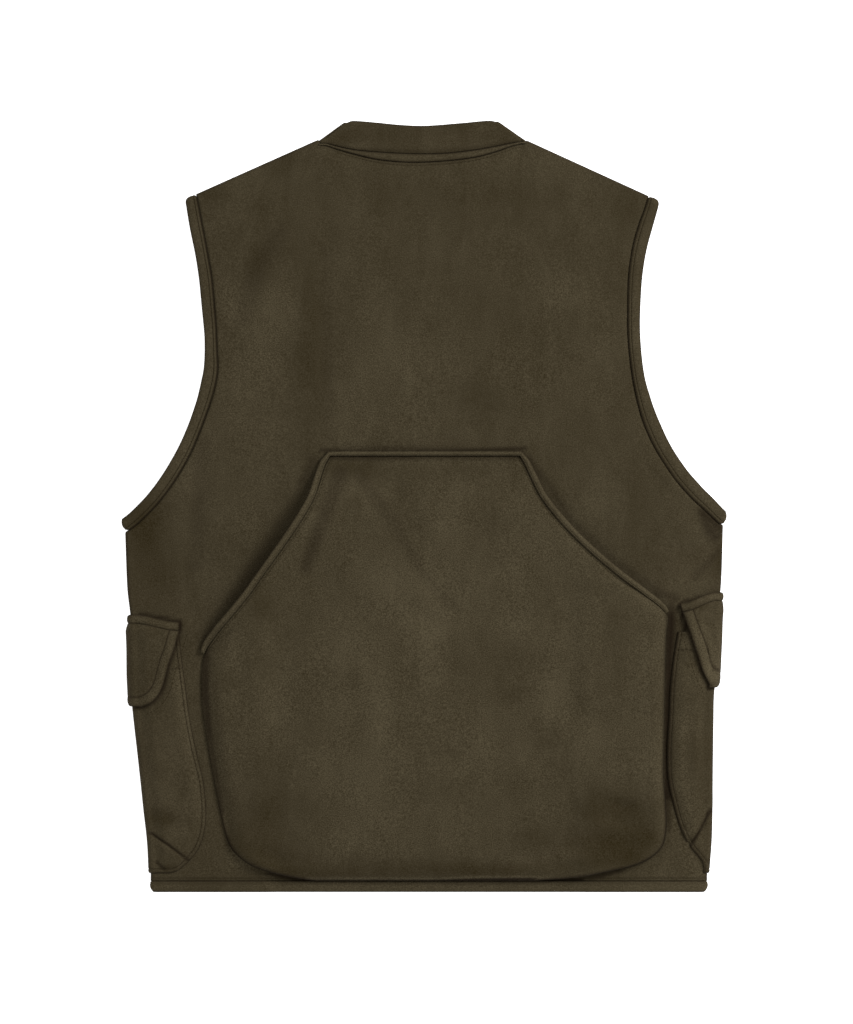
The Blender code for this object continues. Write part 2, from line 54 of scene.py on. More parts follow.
# The part's own dimensions, in millimetres, as its solids have them.
LENGTH = 731.7  # hem to the top of the collar
CLOTH = 2.0  # bonded suede
SEAM = 0.3  # between two pieces that are sewn together
BODY_SPACE = 2.0  # between the back and the fronts
FOLD = (BODY_SPACE + CLOTH) / 2  # radius of the body's middle surface at a fold
LAYER = CLOTH + SEAM
HEM_WIDTH = 10.2
BINDING_WIDTH = 10.4
BINDING_THICKNESS = 3.2
PROUD = (BINDING_THICKNESS - CLOTH) / 2  # levels a binding's underside with the panel's
PANEL_FOOT = HEM_WIDTH + SEAM
BINDING_EASE = 0.2  # on top of SEAM, beside an armhole
FRONT_GAP = 0.5  # between the two fronts
PANEL_END = 0.1  # what is left of the fold's rise at a panel's end
SETTLE = 28.0  # over this run the fronts come down beside a folded layer
MARGIN = 14.0  # past that layer's edge, before they start to come down
POCKET_WRAP = 176.0  # where pocket and flap end on the front, from the centre line
POCKET_BULGE = 2.8
POCKET_CORNER = 30.0
POCKET_SLOPE = 14.0
FLAP_ROLL = 8.0  # height of the rolled top edge
FLAP_ROLL_RISE = 1.4
FLAP_EASE = 0.8  # how much further a flap stands off on the back
FLAP_STEP = 9.0  # over this run a flap steps down from the pocket to the body
POUCH_RISE = 8.0  # how far the pouch stands off the back
POUCH_TURN = 12.0  # over this run it rises from its seams
POUCH_TOP_RUN = 60.0  # and over this one from its top
POUCH_FOOT = 11.6
POUCH_BINDING_THICKNESS = 4.0
OPEN_RUN = 45.0  # over this run a hand opening comes to stand open
NECK_EASE = 1.0  # the neckline runs on this far past the collar's folds
FRONT_NECK_DROP = 72.0
COLLAR_STAND = 24.0
SHOULDER_SLOPE = 24.0  # degrees
TURN_SHARE = 0.1  # of the armhole, where its binding swings round to a fold
TOP_LEAN = 1.6  # how late the rows of a body panel begin to follow its top edge
ROUNDING = 1e-6
FAR = 99.0  # stands for an edge that is out of reach

# Height, and how far out the left and the right side fold are.
SIDE_LINE = [
    (0, 259.8, 268.8), (20, 259.4, 268.9), (49, 260.8, 270.9), (78, 264.1, 271.7), (106, 267, 271.9),
    (135, 270.2, 272.2), (163, 273.3, 272.6), (190, 276, 273.2), (205, 276.8, 275.6),
    (234, 277.2, 277.5), (262, 278.6, 278.6), (285, 281.4, 281.4), (305, 282.5, 282.7), (350, 284, 284),
]
# Height, and distance from the centre line.
ARMHOLE = {
    "left": [
        (340, 284), (343.8, 279.1), (349.5, 271.6), (369.7, 252.4), (394.1, 235.6), (429.5, 216.9),
        (467, 203.6), (522.1, 197.9), (571.5, 202), (619, 208), (662.7, 216),
    ],
    "right": [
        (347.2, 284), (349.2, 280.5), (362.5, 266.8), (373.9, 254.6), (394.1, 237.4), (429.5, 215.8),
        (467, 201.6), (519.3, 195.2), (571.5, 197.8), (619, 204.4), (661, 213),
    ],
}
# The shoulder fold: its end at the armhole, then its end at the neck.
SHOULDER = {
    "left": ((-228.7, 657), (-101, 714)),
    "right": ((222.5, 656.5), (97.5, 713.6)),
}
# Height, how far out the seam is stretched, and how far out the binding's outer edge is.
ARMHOLE_FIT = {
    "left": [
        (349.5, 0, 1.9), (370, -0.7, 1.4), (405, -1.8, 0.5), (435, -1, 0.8), (455, -0.8, 1.2),
        (480, -3, 0), (495, -3.6, -1), (520, -1.3, -0.6), (545, -1.1, 0), (580, -1.9, -0.5),
        (605, -0.8, 0.1), (630, 0, 1.3), (662.7, 0, 1),
    ],
    "right": [
        (349.2, 0, 2.5), (380, -0.7, 2.8), (410, -0.9, 2.4), (440, -0.4, 3.2), (465, 0.7, 2.8),
        (485, 0.3, 1), (520, -1, -0.3), (550, -2.6, -1.6), (585, -5, -2.8), (610, -5.2, -2.6),
        (635, -3, -0.6), (650, -0.8, 0.6), (661, 0, 1),
    ],
}
# Which way the lower end of an armhole's binding points.
UNDERARM_TURN = {"left": (-0.61, 0.79), "right": (0.46, 0.89)}
# Across, foot of the neck band, foot of the collar.
NECK_SEAM = [
    (-93, 708.6, 710.6), (-82, 704.9, 707.6), (-66, 700.2, 704.4), (-44, 695.2, 702.4),
    (-15, 692.6, 700.9), (17, 693.6, 701), (48, 697.3, 704.3), (68, 702.4, 707.9), (82, 707.4, 710.6),
    (92, 710.2, 712.2),
]
# Across, height.
COLLAR_TOP = [
    (-72.5, 729.6), (-68, 731.5), (-45, 730), (-23, 727.9), (0, 727), (34, 729.4), (62, 731.7),
    (67.5, 730.6),
]
# The collar's end folds: foot and top.
COLLAR_FOLD = {
    "left": ((-98.5, 710.4), (-75.3, 727.2)),
    "right": ((95.6, 710.3), (69.6, 728.4)),
}
# Height, left and right inner edge on the back.
POCKET_EDGE = [
    (18.5, 240, 267.9), (20.5, 234, 267.7), (24, 229.2, 267), (32, 221, 262), (44, 212.8, 252),
    (60, 208.3, 243.8), (78, 207.3, 238), (106, 210, 231.8), (135, 217, 230.6), (168, 223.2, 232.6),
    (190, 226, 233.3), (220, 230, 236.4), (247, 233.2, 240.8),
]
# Height, and how many layers lie folded under the left and the right front.
LAYERS_UNDER = [
    (135, 1, 1), (168, 2, 1), (190, 2, 2), (250, 2, 2), (268, 1, 1.5), (290, 0.4, 1), (306, 0, 0.45),
    (326, 0, 0),
]
FLAP_TOP = {"left": 256.0, "right": 274.0}
FLAP_CLIMB = {"left": 7.0, "right": 10.5}  # how much higher a flap is at the side fold
# Below the flap's top, left and right inner edge.
FLAP_EDGE = [
    (0, 232.2, 243), (3, 232, 243.6), (8, 232.2, 245.4), (14, 234.2, 247.6), (26, 237.5, 251.8),
    (38, 241.9, 255.8), (50, 245.1, 259.8), (62, 248.6, 263.4), (70, 253, 267), (76, 259, 270.4),
    (79.5, 267, 272.6),
]
# Height, left and right edge of the pouch's panel.
POUCH_EDGE = [
    (POUCH_FOOT, -104, 106), (14.5, -122, 142), (19, -143, 168), (27, -165, 202), (40, -180.4, 222.6),
    (56, -188.2, 228.6), (80, -193.6, 228.6), (110, -199.6, 226.4), (150, -206.4, 226.8),
    (190, -210.6, 227.4), (226, -208, 228.2), (246, -195.2, 228.8), (264, -180, 229),
    (282, -165.4, 208), (302, -151.3, 181.4), (331, -130.5, 148.2), (353, -115.8, 127.2),
    (374, -104, 110.8), (393, -97.8, 101.2), (406, -93.4, 95.2), (413.6, -89, 91),
]
# Height, width of the bound edge.
POUCH_BOUND = [
    (226, 6.4), (302, 6.2), (374, 6.6), (406, 6), (413.6, 4.8),
]
POUCH_OPEN = {"left": 226.0, "right": 264.0}  # height at which a hand opening starts

POCKET_FOOT, POCKET_TOP = POCKET_EDGE[0][0], POCKET_EDGE[-1][0]
FLAP_FOOT = FLAP_EDGE[-1][0]
POUCH_TOP = POUCH_EDGE[-1][0]
SIGN = {"left": -1.0, "right": 1.0}
COLUMN = {"left": 1, "right": 2}  # of a table with both sides
QUARTER = FOLD * math.pi / 2  # way along the cloth round half of a fold
END_IN = FOLD - math.sqrt(FOLD**2 - PANEL_END**2)
SLOPED = math.cos(math.radians(SHOULDER_SLOPE))
SHOULDER_IN = (CLOTH / 2 + END_IN) / SLOPED
UP = Vector((0, 0, 1))

# How close the rows and columns of a sheet lie to each other next to its edges.
CLOSE = [0.0, 0.45, 0.9, 1.4, 2.0, 2.7, 3.3, 4.0, 5.0, 6.6]
CLOSE_BODY = [0.0, 0.1, 0.35, 0.75, 1.25, 1.8, 2.4, 3.0, 3.7, 4.7, 6.2, 8.4]


def beside(line, k, reach=1):
    """The places before and after one of a line, or the line's own end."""
    return line[max(k - reach, 0)], line[min(k + reach, len(line) - 1)]


def read(table, at, column=1):
    """A table's column at a value of its first column, as a smooth curve through its rows."""
    at = min(max(at, table[0][0]), table[-1][0])
    k = 1
    while k < len(table) - 1 and table[k][0] < at:
        k += 1

    def slope(i):
        low, high = beside(table, i)
        return (high[column] - low[column]) / (high[0] - low[0])

    a, b = table[k - 1], table[k]
    run = b[0] - a[0]
    t = (at - a[0]) / run
    start, end = slope(k - 1) * run, slope(k) * run
    rise = b[column] - a[column]
    bend, twist = 3 * rise - 2 * start - end, start + end - 2 * rise
    return a[column] + start * t + bend * t**2 + twist * t**3


def smooth(t):
    """A soft step from 0 to 1."""
    t = min(max(t, 0.0), 1.0)
    return t * t * (3 - 2 * t)


def bump(t):
    """A soft round hump, 1 in its middle and nothing beyond 1 on either side."""
    return (1 - min(t * t, 1.0)) ** 2


def fall(away, width, power=2):
    """A soft bell over a distance, 1 at its middle and nearly nothing at twice its width."""
    return math.exp(-((away / width) ** power))


def ripple(*place):
    """Soft random unevenness between -1 and 1."""
    return noise.noise(Vector(place))


def waves(x, height, size, seed):
    """Random undulation of a size in millimetres."""
    return ripple(x / size, height / size, seed * 7.3)


def side_of(x):
    """The side of the vest that a place is on."""
    return "left" if x < 0 else "right"


def side_line(side, height):
    """How far out the body's middle surface reaches at a side fold."""
    return read(SIDE_LINE, height, COLUMN[side]) - CLOTH / 2


def armhole(side, height):
    """Distance of the armhole's seam from the centre line."""
    return read(ARMHOLE[side], height) + read(ARMHOLE_FIT[side], height)


def armhole_width(side, height):
    """How much of an armhole's binding shows beside its seam."""
    return BINDING_WIDTH + read(ARMHOLE_FIT[side], height, 2) - read(ARMHOLE_FIT[side], height)


def under(height, column):
    """Layers under the fronts at a height, in straight runs between the table's rows."""
    rows = LAYERS_UNDER
    if height <= rows[0][0]:
        return rows[0][column]
    for low, high in zip(rows, rows[1:]):
        if height <= high[0]:
            share = (height - low[0]) / (high[0] - low[0])
            return low[column] + share * (high[column] - low[column])
    return rows[-1][column]


def lift(x, height):
    """How high the fronts lie, over the pockets and the flaps that are folded under them."""
    raised = 1 - smooth((POCKET_WRAP - abs(x) - MARGIN) / SETTLE)
    return LAYER * raised * under(height, COLUMN[side_of(x)])


def centre(x, height):
    """Height of the middle of the body, between the back and the fronts."""
    return lift(x, height) + CLOTH / 2 + FOLD


def from_line(x, height, line):
    """Distance from a straight fold, inwards."""
    (ax, ay), (bx, by) = line
    return abs((bx - ax) * (height - ay) - (by - ay) * (x - ax)) / math.hypot(bx - ax, by - ay)


def body_point(x, height, layer, raised=0.0):
    """A point of the back (layer 1) or of a front (layer -1), turned down at the folds."""
    side = side_of(x)
    shoulder = from_line(x, height, SHOULDER[side]) - CLOTH / 2
    inside = max(min(side_line(side, height) - abs(x), shoulder, FOLD), 0.0)
    rise = max(math.sqrt(FOLD**2 - (FOLD - inside) ** 2), PANEL_END)
    return Vector((x, height, centre(x, height) + layer * rise + raised * rise / FOLD))


def wrap_point(side, along, height, out):
    """A point wrapped round a side fold: along is the cloth's way from the fold, positive
    on the back, and out is its distance from the body's middle surface."""
    middle = side_line(side, height) - FOLD
    if abs(along) < QUARTER:
        x = middle + (FOLD + out) * math.cos(along / FOLD)
        z = (FOLD + out) * math.sin(along / FOLD)
        held = middle
    else:
        x = held = middle - (abs(along) - QUARTER)
        z = math.copysign(FOLD + out, along)
    return Vector((SIGN[side] * x, height, centre(SIGN[side] * held, height) + z))


def along_for(side, x, height):
    """How far a place on the flat back is from the side fold, along the cloth."""
    return QUARTER + max(side_line(side, height) - FOLD - x, 0.6)


def pocket_back(side, height):
    """How far a pocket reaches on the back, along the cloth."""
    return along_for(side, read(POCKET_EDGE, height, COLUMN[side]), height)


def flap_back(side, drop):
    """How far a flap reaches on the back, along the cloth, at a drop below its top."""
    return along_for(side, read(FLAP_EDGE, drop, COLUMN[side]), FLAP_TOP[side] - drop)


def origin(point):
    """Moves a point from the hem's frame to the part's, in metres."""
    return Vector((point.x, point.y - LENGTH / 2, point.z)) * MM


def spread(length, step=0.0, close=CLOSE, count=0):
    """Places from 0 to a length, close together next to both ends, by a step or a count."""
    close = [c * min(length / close[-1] / 2.5, 1.0) for c in close]
    inner = length - 2 * close[-1]
    count = count or max(round(inner / step), 1)
    middle = [close[-1] + inner * k / count for k in range(1, count)]
    return close + middle + [length - c for c in close[::-1]]


def between(low, high, step):
    """Even steps between two values, without the first."""
    count = max(round(abs(high - low) / step), 1)
    return [low + (high - low) * k / count for k in range(1, count + 1)]


def near_line(x, height, line):
    """Distance from an open line of points, and how far along the line the nearest place is."""
    best, where, walked = math.inf, 0.0, 0.0
    for (ax, ay), (bx, by) in zip(line, line[1:]):
        dx, dy = bx - ax, by - ay
        run = max(math.hypot(dx, dy), ROUNDING)
        part = min(max(((x - ax) * dx + (height - ay) * dy) / (run * run), 0.0), 1.0)
        away = math.hypot(x - ax - part * dx, height - ay - part * dy)
        if away < best:
            best, where = away, walked + part * run
        walked += run
    return best, where / walked


def within(line, reach, x, height):
    """Whether a place is in the box round a line, grown by a reach."""
    xs, ys = zip(*line)
    return min(xs) - reach < x < max(xs) + reach and min(ys) - reach < height < max(ys) + reach


def folds(table, x, height):
    """How much the listed creases of a table raise the cloth at a place."""
    total = 0.0
    for ax, ay, bx, by, width, rise in table:
        line = [(ax, ay), (bx, by)]
        if within(line, 2.2 * width, x, height):
            away, share = near_line(x, height, line)
            fade = smooth(share / 0.35 + 0.25) * smooth((1 - share) / 0.35 + 0.25)
            total += rise * fade * fall(away, width)
    return total


def patches(table, x, height):
    """How much a table's patches lighten or darken the nap's colour at a place: the nap's uneven tone,
    and in most tables painted light and shade as well.
    """
    total = 0.0
    for px, py, wide, tall, amount in table:
        away = ((x - px) / wide) ** 2 + ((height - py) / tall) ** 2
        if away < 6:  # beyond this a patch has faded out
            total += amount * math.exp(-away)
    return total


def shaded(table, x, height):
    """How strongly the painted shade bands of a table darken the cloth at a place."""
    mark = 0.0
    for strength, first, last, line in table:
        if within(line, 2 * max(first, last), x, height):
            away, share = near_line(x, height, line)
            mark = max(mark, strength * fall(away, first + (last - first) * share, 3))
    return mark


# A sheet is rows of places, and each place is a point, its seam mark and its nap. The seam mark holds
# dark seam lines and painted shade; the nap holds the nap's uneven tone, with painted light and shade.


def points_of(rows):
    """The points alone, row by row."""
    return [[point for point, _, _ in row] for row in rows]


def grid(rows):
    """A bmesh sheet through rows of places, with their marks and nap as attributes."""
    mesh = bmesh.new()
    bmesh.ops.create_grid(mesh, x_segments=len(rows[0]) - 1, y_segments=len(rows) - 1, size=1)
    seam, nap = [mesh.verts.layers.float.new(name) for name in ("seam", "nap")]
    for vert, (point, mark, brushed) in zip(mesh.verts, (place for row in rows for place in row)):
        vert.co = origin(point)
        vert[seam] = mark
        vert[nap] = brushed
    return mesh


def show(name, data):
    """A new object of the scene, at the origin."""
    made = bpy.data.objects.new(name, data)
    bpy.context.scene.collection.objects.link(made)
    return made


def show_mesh(name, mesh, material):
    """A new object from a bmesh, in a material."""
    data = bpy.data.meshes.new(name)
    mesh.to_mesh(data)
    mesh.free()
    data.materials.append(material)
    return show(name, data)


def add(name, mesh, material):
    """Makes a mesh a piece of the vest, smooth and with its faces turned one way."""
    bmesh.ops.recalc_face_normals(mesh, faces=mesh.faces[:])
    made = show_mesh(name, mesh, material)
    made.data.shade_smooth()
    return made


def settle(made, solid):
    """Hangs a finished sheet on the root, and hides the solid that it stands for."""
    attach(made, "root")
    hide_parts(solid)
    return made


def wall(made, thickness, offset):
    """Gives a sheet its thickness: on both sides (0), behind its faces (-1) or before (1)."""
    cloth = made.modifiers.new("Cloth", "SOLIDIFY")
    cloth.thickness = thickness * MM
    cloth.offset = offset


def panel(name, solid, rows):
    """A wall of suede on the sheet through rows of places."""
    made = add(name, grid(rows), finish(SUEDE))
    wall(made, CLOTH, 0)
    return settle(made, solid)


# The strip's section: how far across its width, and how far up its thickness. A row of
# stitches sinks into it a quarter of the way across.
STITCHED = 0.25
BOUND = [
    (-0.05, -0.02), (0.02, 0.16), (0.07, 0.32), (0.13, 0.43), (0.19, 0.46), (0.22, 0.42),
    (STITCHED, 0.34), (0.28, 0.43), (0.32, 0.48), (0.45, 0.52), (0.62, 0.51), (0.77, 0.45),
    (0.89, 0.34), (0.97, 0.19), (1, 0),
]
BOUND += [(w, -t) for w, t in BOUND[-2::-1]]
# The neck band's section: a padded ridge, drawn down at both its seams.
RIDGE = [
    (-0.05, -0.6), (-0.03, -0.25), (0, 0.02), (0.04, 0.2), (0.12, 0.36), (0.28, 0.48), (0.5, 0.52),
    (0.72, 0.48), (0.88, 0.36), (0.96, 0.2), (1, 0.02), (1.03, -0.25), (1.05, -0.6), (0.75, -0.66),
    (0.5, -0.68), (0.25, -0.66),
]
STRIP_CLOTH = 1.1  # the binding strip is split thinner than the panels


def rim_mark(w, width, darkness):
    """The dark marks of a strip: its seam, its row of stitches, and painted shade where it turns under.
    The darkness of the three comes in that order."""
    seam = darkness[0] * fall(max(w, 0.0) * width, 0.7)
    sewn = darkness[1] * fall((w - STITCHED) * width, 0.45)
    rim = darkness[2] * fall((1 - w) * width, 0.9)
    return max(seam, sewn, rim) * min(width / 5.0, 1.0)


def strip(
    name, solid, stations, darkness, seed, closed=False, section=BOUND, pucker=0.16, light=0.0, fade=0
):
    """A folded strip swept through stations of foot, way across, way up, width, thickness.
    Its dark lines fade out over a number of stations at both ends."""
    rows, walked = [], 0.0
    for k, (foot, across, up, width, thickness) in enumerate(stations):
        walked += (foot - stations[k - 1][0]).length if k else 0.0
        shown = smooth(min(k, len(stations) - 1 - k) / fade) if fade else 1.0
        # The back's patches reach the strips too, painted light and shade among them.
        brushed = light + patches(BACK_NAP_LIGHT_SHADE, foot.x, foot.y)
        row = []
        for w, t in section:
            pull = pucker * ripple(walked / 4.5, w * 2.5, seed) * (1 - 0.5 * w)
            pull += 1.3 * pucker * ripple(walked / 19.0, w, seed + 5)
            point = foot + across * (w * width) + up * (t * (thickness + 2 * pull))
            # A painted highlight along the strip's rounded crown.
            nap = brushed + 0.3 * bump((w - 0.6) / 0.4)
            row.append((point, shown * rim_mark(w, width, darkness), nap))
        rows.append(row)
    if closed:
        rows.append(rows[0])
    points = points_of(rows)
    mesh = grid(rows)
    bmesh.ops.remove_doubles(mesh, verts=mesh.verts[:], dist=1e-7)
    made = add(name, mesh, finish(SUEDE_EDGE))
    wall(made, STRIP_CLOTH, -1 if face_out(made, points[0]) else 1)
    return settle(made, solid)


def face_out(made, section):
    """Whether a strip's faces point away from the middle of its first section."""
    face = made.data.polygons[0]
    middle = sum(section, Vector()) / len(section)
    return face.normal.dot(face.center - origin(middle)) > 0


STITCH = 3.6  # from one stitch to the next
STITCH_LENGTH = 3.0
THREAD = 0.62


def stitches(name, runs):
    """Thread that shows as a row of short stitches along each run of points and ways up."""
    mesh = bmesh.new()
    size = Matrix.Diagonal((STITCH_LENGTH / 2, THREAD / 2, THREAD / 2, 1 / MM)) * MM
    for run in runs:
        gone, wanted = 0.0, STITCH / 2
        for (a, up), (b, _) in zip(run, run[1:]):
            step = (b - a).length
            along = (b - a).normalized()
            side = up.cross(along).normalized()
            turned = Matrix((along, side, along.cross(side))).transposed().to_4x4()
            while step > 0 and wanted <= gone + step:
                at = Matrix.Translation(origin(a.lerp(b, (wanted - gone) / step)))
                bmesh.ops.create_uvsphere(
                    mesh, u_segments=6, v_segments=5, radius=1.0, matrix=at @ turned @ size
                )
                wanted += STITCH
            gone += step
    made = add(name, mesh, finish(THREAD_FINISH))
    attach(made, "root")
    return made


EDGE_DIP = 1.5  # how far a panel's edge is drawn down into a seam
DIP_WIDTH = 1.15
GROOVE = 0.6  # how deep a row of stitches sinks into the nap
GROOVE_WIDTH = 0.8
PUCKER = 5.0  # size of the small pulls along a seam
OUTLINE_SHADE = 0.45  # how strongly painted shade darkens the cloth where it turns round a fold


def seam_shape(edge, stitch=None):
    """How a sewn edge lies: drawn down at the seam, and again under its row of stitches."""
    rise = -EDGE_DIP * fall(edge, DIP_WIDTH)
    if stitch is not None:
        rise -= GROOVE * fall(edge - stitch, GROOVE_WIDTH)
        rise += 0.25 * bump((edge - stitch / 2) / (stitch / 2))
    return rise


def seam_mark(edge, stitch=None):
    """How strongly a place is marked as a seam, for its darker, pressed nap."""
    mark = fall(edge, 0.85)
    return mark if stitch is None else max(mark, 0.6 * fall(edge - stitch, 0.7))


ARMHOLE_RUN = 315.0  # about how tall an armhole is
UNDERARM = 326.0  # from this height the side fold's rows are even up to the underarm
COLUMNS = {"back": 158, "left": 36, "right": 36}  # across the back and the two fronts
BACK_STEP = 3.3
FRONT_STEP = 7.0
BACK_STITCH = 2.6  # the topstitch beside the neck seam and the hem
SEWN_REACH = 9.0  # how far in from its edge a seam shapes a body panel

# From, to, width and rise, in millimetres.
BACK_FOLDS = [
    (-92, 640, -84, 470, 16, -0.9), (-150, 600, -140, 500, 24, 1.1), (-165, 480, -172, 400, 20, 0.7),
    (-40, 660, -60, 560, 20, 0.5), (60, 640, 110, 560, 22, -0.6), (55, 480, 30, 440, 18, -0.5),
    (135, 580, 160, 500, 24, 0.7), (195, 450, 250, 360, 9, 0.7), (215, 400, 262, 352, 6, -0.6),
    (262, 352, 276, 338, 5, 0.9), (-215, 400, -250, 366, 8, 0.6), (-190, 380, -235, 330, 12, -0.5),
    (200, 340, 255, 318, 12, -0.5), (-235, 320, -150, 345, 14, 0.5),
]
# Across, height, how wide, how tall, lighter or darker: the nap's uneven tone, with painted light and
# shade among the patches.
BACK_NAP_LIGHT_SHADE = [
    (-146, 543, 26, 34, 0.85), (-158, 596, 17, 26, -0.75), (-184, 562, 10, 18, 0.6),
    (-165, 456, 24, 34, 0.5), (-160, 500, 26, 30, 0.25), (-120, 612, 20, 24, -0.2),
    (-108, 510, 16, 90, -0.75), (-62, 480, 26, 80, 0.3), (53, 466, 26, 18, -0.55),
    (-20, 452, 60, 20, 0.3), (90, 480, 30, 60, 0.3), (131, 567, 30, 26, 0.35), (170, 483, 32, 30, 0.3),
    (-20, 505, 46, 34, 0.4), (0, 660, 70, 22, -0.35), (-60, 675, 40, 18, -0.25),
    (90, 665, 36, 14, -0.55), (195, 650, 24, 24, -0.8), (150, 610, 30, 40, -0.25),
    (-130, 694, 16, 12, -0.9), (-150, 660, 34, 20, -0.35), (-216, 408, 20, 26, 0.3),
    (-262, 352, 20, 34, -1.1), (-258, 306, 24, 30, -0.7), (200, 370, 9, 26, -0.5),
    (212, 330, 14, 14, -0.4), (282, 318, 8, 14, -0.9), (250, 320, 20, 12, -0.35),
    (-240, 300, 24, 22, -0.2), (-195, 662, 12, 10, -0.8), (-150, 645, 20, 14, -0.4),
    (-95, 636, 14, 26, -0.35), (-86, 530, 9, 28, -0.3), (-160, 458, 26, 20, -0.4),
    (-265, 348, 14, 20, -0.4), (-145, 570, 10, 12, 0.4), (-165, 350, 18, 18, 0.55),
    (50, 628, 14, 14, -0.35), (120, 655, 18, 16, -0.6), (85, 560, 8, 28, -0.3),
    (187, 590, 9, 28, -0.45), (185, 490, 20, 20, -0.3), (-110, 490, 8, 38, 0.3),
    (278, 305, 7, 14, -0.5), (215, 315, 14, 14, -0.4), (-172, 31, 9, 7, 1), (-205, 9, 45, 4, -0.7),
    (-178, 27, 7, 5, 0.4), (-182, 34, 7, 8, 0.5), (241, 66, 6, 22, 0.6), (253, 36, 7, 14, 0.7),
    (263, 19, 8, 9, 0.7),
]
# Strength, width at both ends, and where each band of painted shade runs: shadows beside the pouch's
# openings and under the flaps, and shade in the valleys between pieces.
BACK_SHADE_BANDS = [
    (0.3, 5.4, 7.4, [(-106, 411), (-110, 392), (-145, 335), (-169, 297)]),
    (0.3, 7.4, 3.6, [(-169, 297), (-190, 267), (-208, 238)]),
    (0.34, 2.6, 4.5, [(111, 399), (141, 351), (185, 311), (230, 281)]),
    (0.75, 2, 2, [(-98, 420), (96, 420)]), (0.8, 2.4, 2.4, [(-269, 262.5), (-250, 260), (-233, 256)]),
    (1, 1.9, 1.9, [(-231, 256), (-231, 251)]), (1, 2.2, 1.9, [(-232.5, 248), (-235.5, 233)]),
    (0.7, 1.8, 1.6, [(248, 276.3), (264, 280), (279, 282.6)]),
    (1, 2, 2.4, [(243.8, 273), (248.3, 251)]), (0.66, 5, 4.6, [(235, 270), (236, 254)]),
    (1, 5, 4.6, [(234.5, 262), (232.8, 215), (231.5, 150), (231, 90)]),
    (0.6, 4.2, 1.8, [(231, 88), (231.5, 58)]), (0.9, 1.2, 2.4, [(-152, 18.5), (-124, 12.6)]),
    (0.7, 2.6, 1.2, [(-124, 13), (-104, 11)]), (0.6, 1.2, 3, [(192, 22.5), (168, 16)]),
    (0.6, 3, 1.2, [(168, 15), (140, 12)]), (1, 2, 2, [(-124, 11.2), (150, 11.2)]),
    (0.75, 4.2, 4.2, [(264, 361), (283, 343)]), (0.66, 4.5, 5.5, [(264, 360), (271, 344), (276, 337)]),
    (0.25, 4, 4, [(205, 292), (236, 281)]), (0.3, 5, 3, [(258, 300), (281, 325)]),
    (0.22, 9, 8, [(-210, 425), (-216, 310)]), (0.2, 10, 9, [(-138, 626), (-158, 590), (-173, 545)]),
    (0.12, 6, 6, [(-93, 610), (-92, 520), (-88, 425)]), (0.5, 4.2, 4.4, [(220, 284), (238, 279)]),
    (0.45, 3.6, 3.8, [(-104, 410), (-117, 388)]), (0.4, 3.2, 3.2, [(100, 412), (110, 394)]),
]
# From, to, width and rise, as on the back.
FRONT_FOLDS = [
    (-60, 610, -90, 430, 22, 0.7), (-180, 470, -120, 380, 20, 0.6), (70, 600, 95, 440, 22, 0.7),
    (175, 470, 130, 360, 20, 0.6), (-60, 260, -80, 90, 26, 0.5), (75, 270, 60, 100, 26, 0.5),
]


def edge_rows(side, step):
    """A panel's edge, row by row: up the side fold, then round the armhole. Each row has
    its distance from the centre line, its height and its share of the armhole."""
    seam = ARMHOLE[side]
    corner, foot, head = seam[0][0], seam[1][0], seam[-1][0]
    low = [PANEL_FOOT + c for c in CLOSE]
    levels = low + between(low[-1], UNDERARM, step)
    levels += [UNDERARM + (corner - UNDERARM) * k / 4 for k in range(1, 5)]
    rows = [(side_line(side, height) - END_IN, height, 0.0) for height in levels]
    for part in (1 / 3, 2 / 3):
        height = corner + (foot - corner) * part
        rows.append((armhole(side, height), height, 0.0))
    top = [1 - c / ARMHOLE_RUN for c in CLOSE_BODY[::-1]]
    for share in [0.0] + between(0.0, top[0], step / ARMHOLE_RUN) + top[1:]:
        height = foot + share * (head - foot)
        rows.append((armhole(side, height), height, share))
    return rows


def front_neck(x):
    """Height of the front neckline, an ellipse between the two collar folds."""
    foot_x, foot_y = COLLAR_FOLD[side_of(x)][0]
    part = min(abs(x / foot_x), 1.0)
    return foot_y - FRONT_NECK_DROP * math.sqrt(1 - part**2)


def neck_end(x):
    """How far out the neckline of a body panel goes, on the side that a place is on."""
    return abs(COLLAR_FOLD[side_of(x)][0][0]) + NECK_EASE


def top_edge(x, layer):
    """Height of a body panel's upper edge: its shoulders and its neckline."""
    side = side_of(x)
    (ax, ay), (bx, by) = SHOULDER[side]
    shoulder = ay + (by - ay) * (x - ax) / (bx - ax) - SHOULDER_IN
    neck = neck_end(x)
    if abs(x) >= neck - ROUNDING:
        return shoulder
    if layer > 0:
        return min(read(NECK_SEAM, x) - SEAM, shoulder)
    drop = (FRONT_NECK_DROP + SEAM) * math.sqrt(1 - (x / neck) ** 2)
    return COLLAR_FOLD[side][0][1] - drop


def edge_slopes(rows):
    """How much of a step across a row is a step away from the panel's edge, row by row."""
    slopes = []
    for k in range(len(rows)):
        before, after = beside(rows, k)
        dx, dy = after[0] - before[0], after[1] - before[1]
        slopes.append(abs(dy) / math.hypot(dx, dy))
    return slopes


def relief(part, x, height):
    """How a body panel's creases raise it at a place, and how much lighter or darker its nap's colour
    is there, with painted light and shade on the back.
    """
    if part == "back":
        rise = folds(BACK_FOLDS, x, height) + 0.7 * waves(x, height, 85.0, 1)
        return rise + 0.25 * waves(x, height, 30.0, 2), patches(BACK_NAP_LIGHT_SHADE, x, height)
    # Creases of the fronts stand up from the floor, into the hollow of the body.
    rise = folds(FRONT_FOLDS, x, height) + 0.35 * waves(x, height, 70.0, 3)
    return max(rise, 0.0), 0.5 * waves(x, height, 60.0, 4)


def body_columns(part, left, right):
    """Places across a row: from edge to edge, or from one edge to the gap in the middle."""
    start = FRONT_GAP / 2 if part == "right" else left
    end = -FRONT_GAP / 2 if part == "left" else right
    return [start + s for s in spread(end - start, close=CLOSE_BODY, count=COLUMNS[part])]


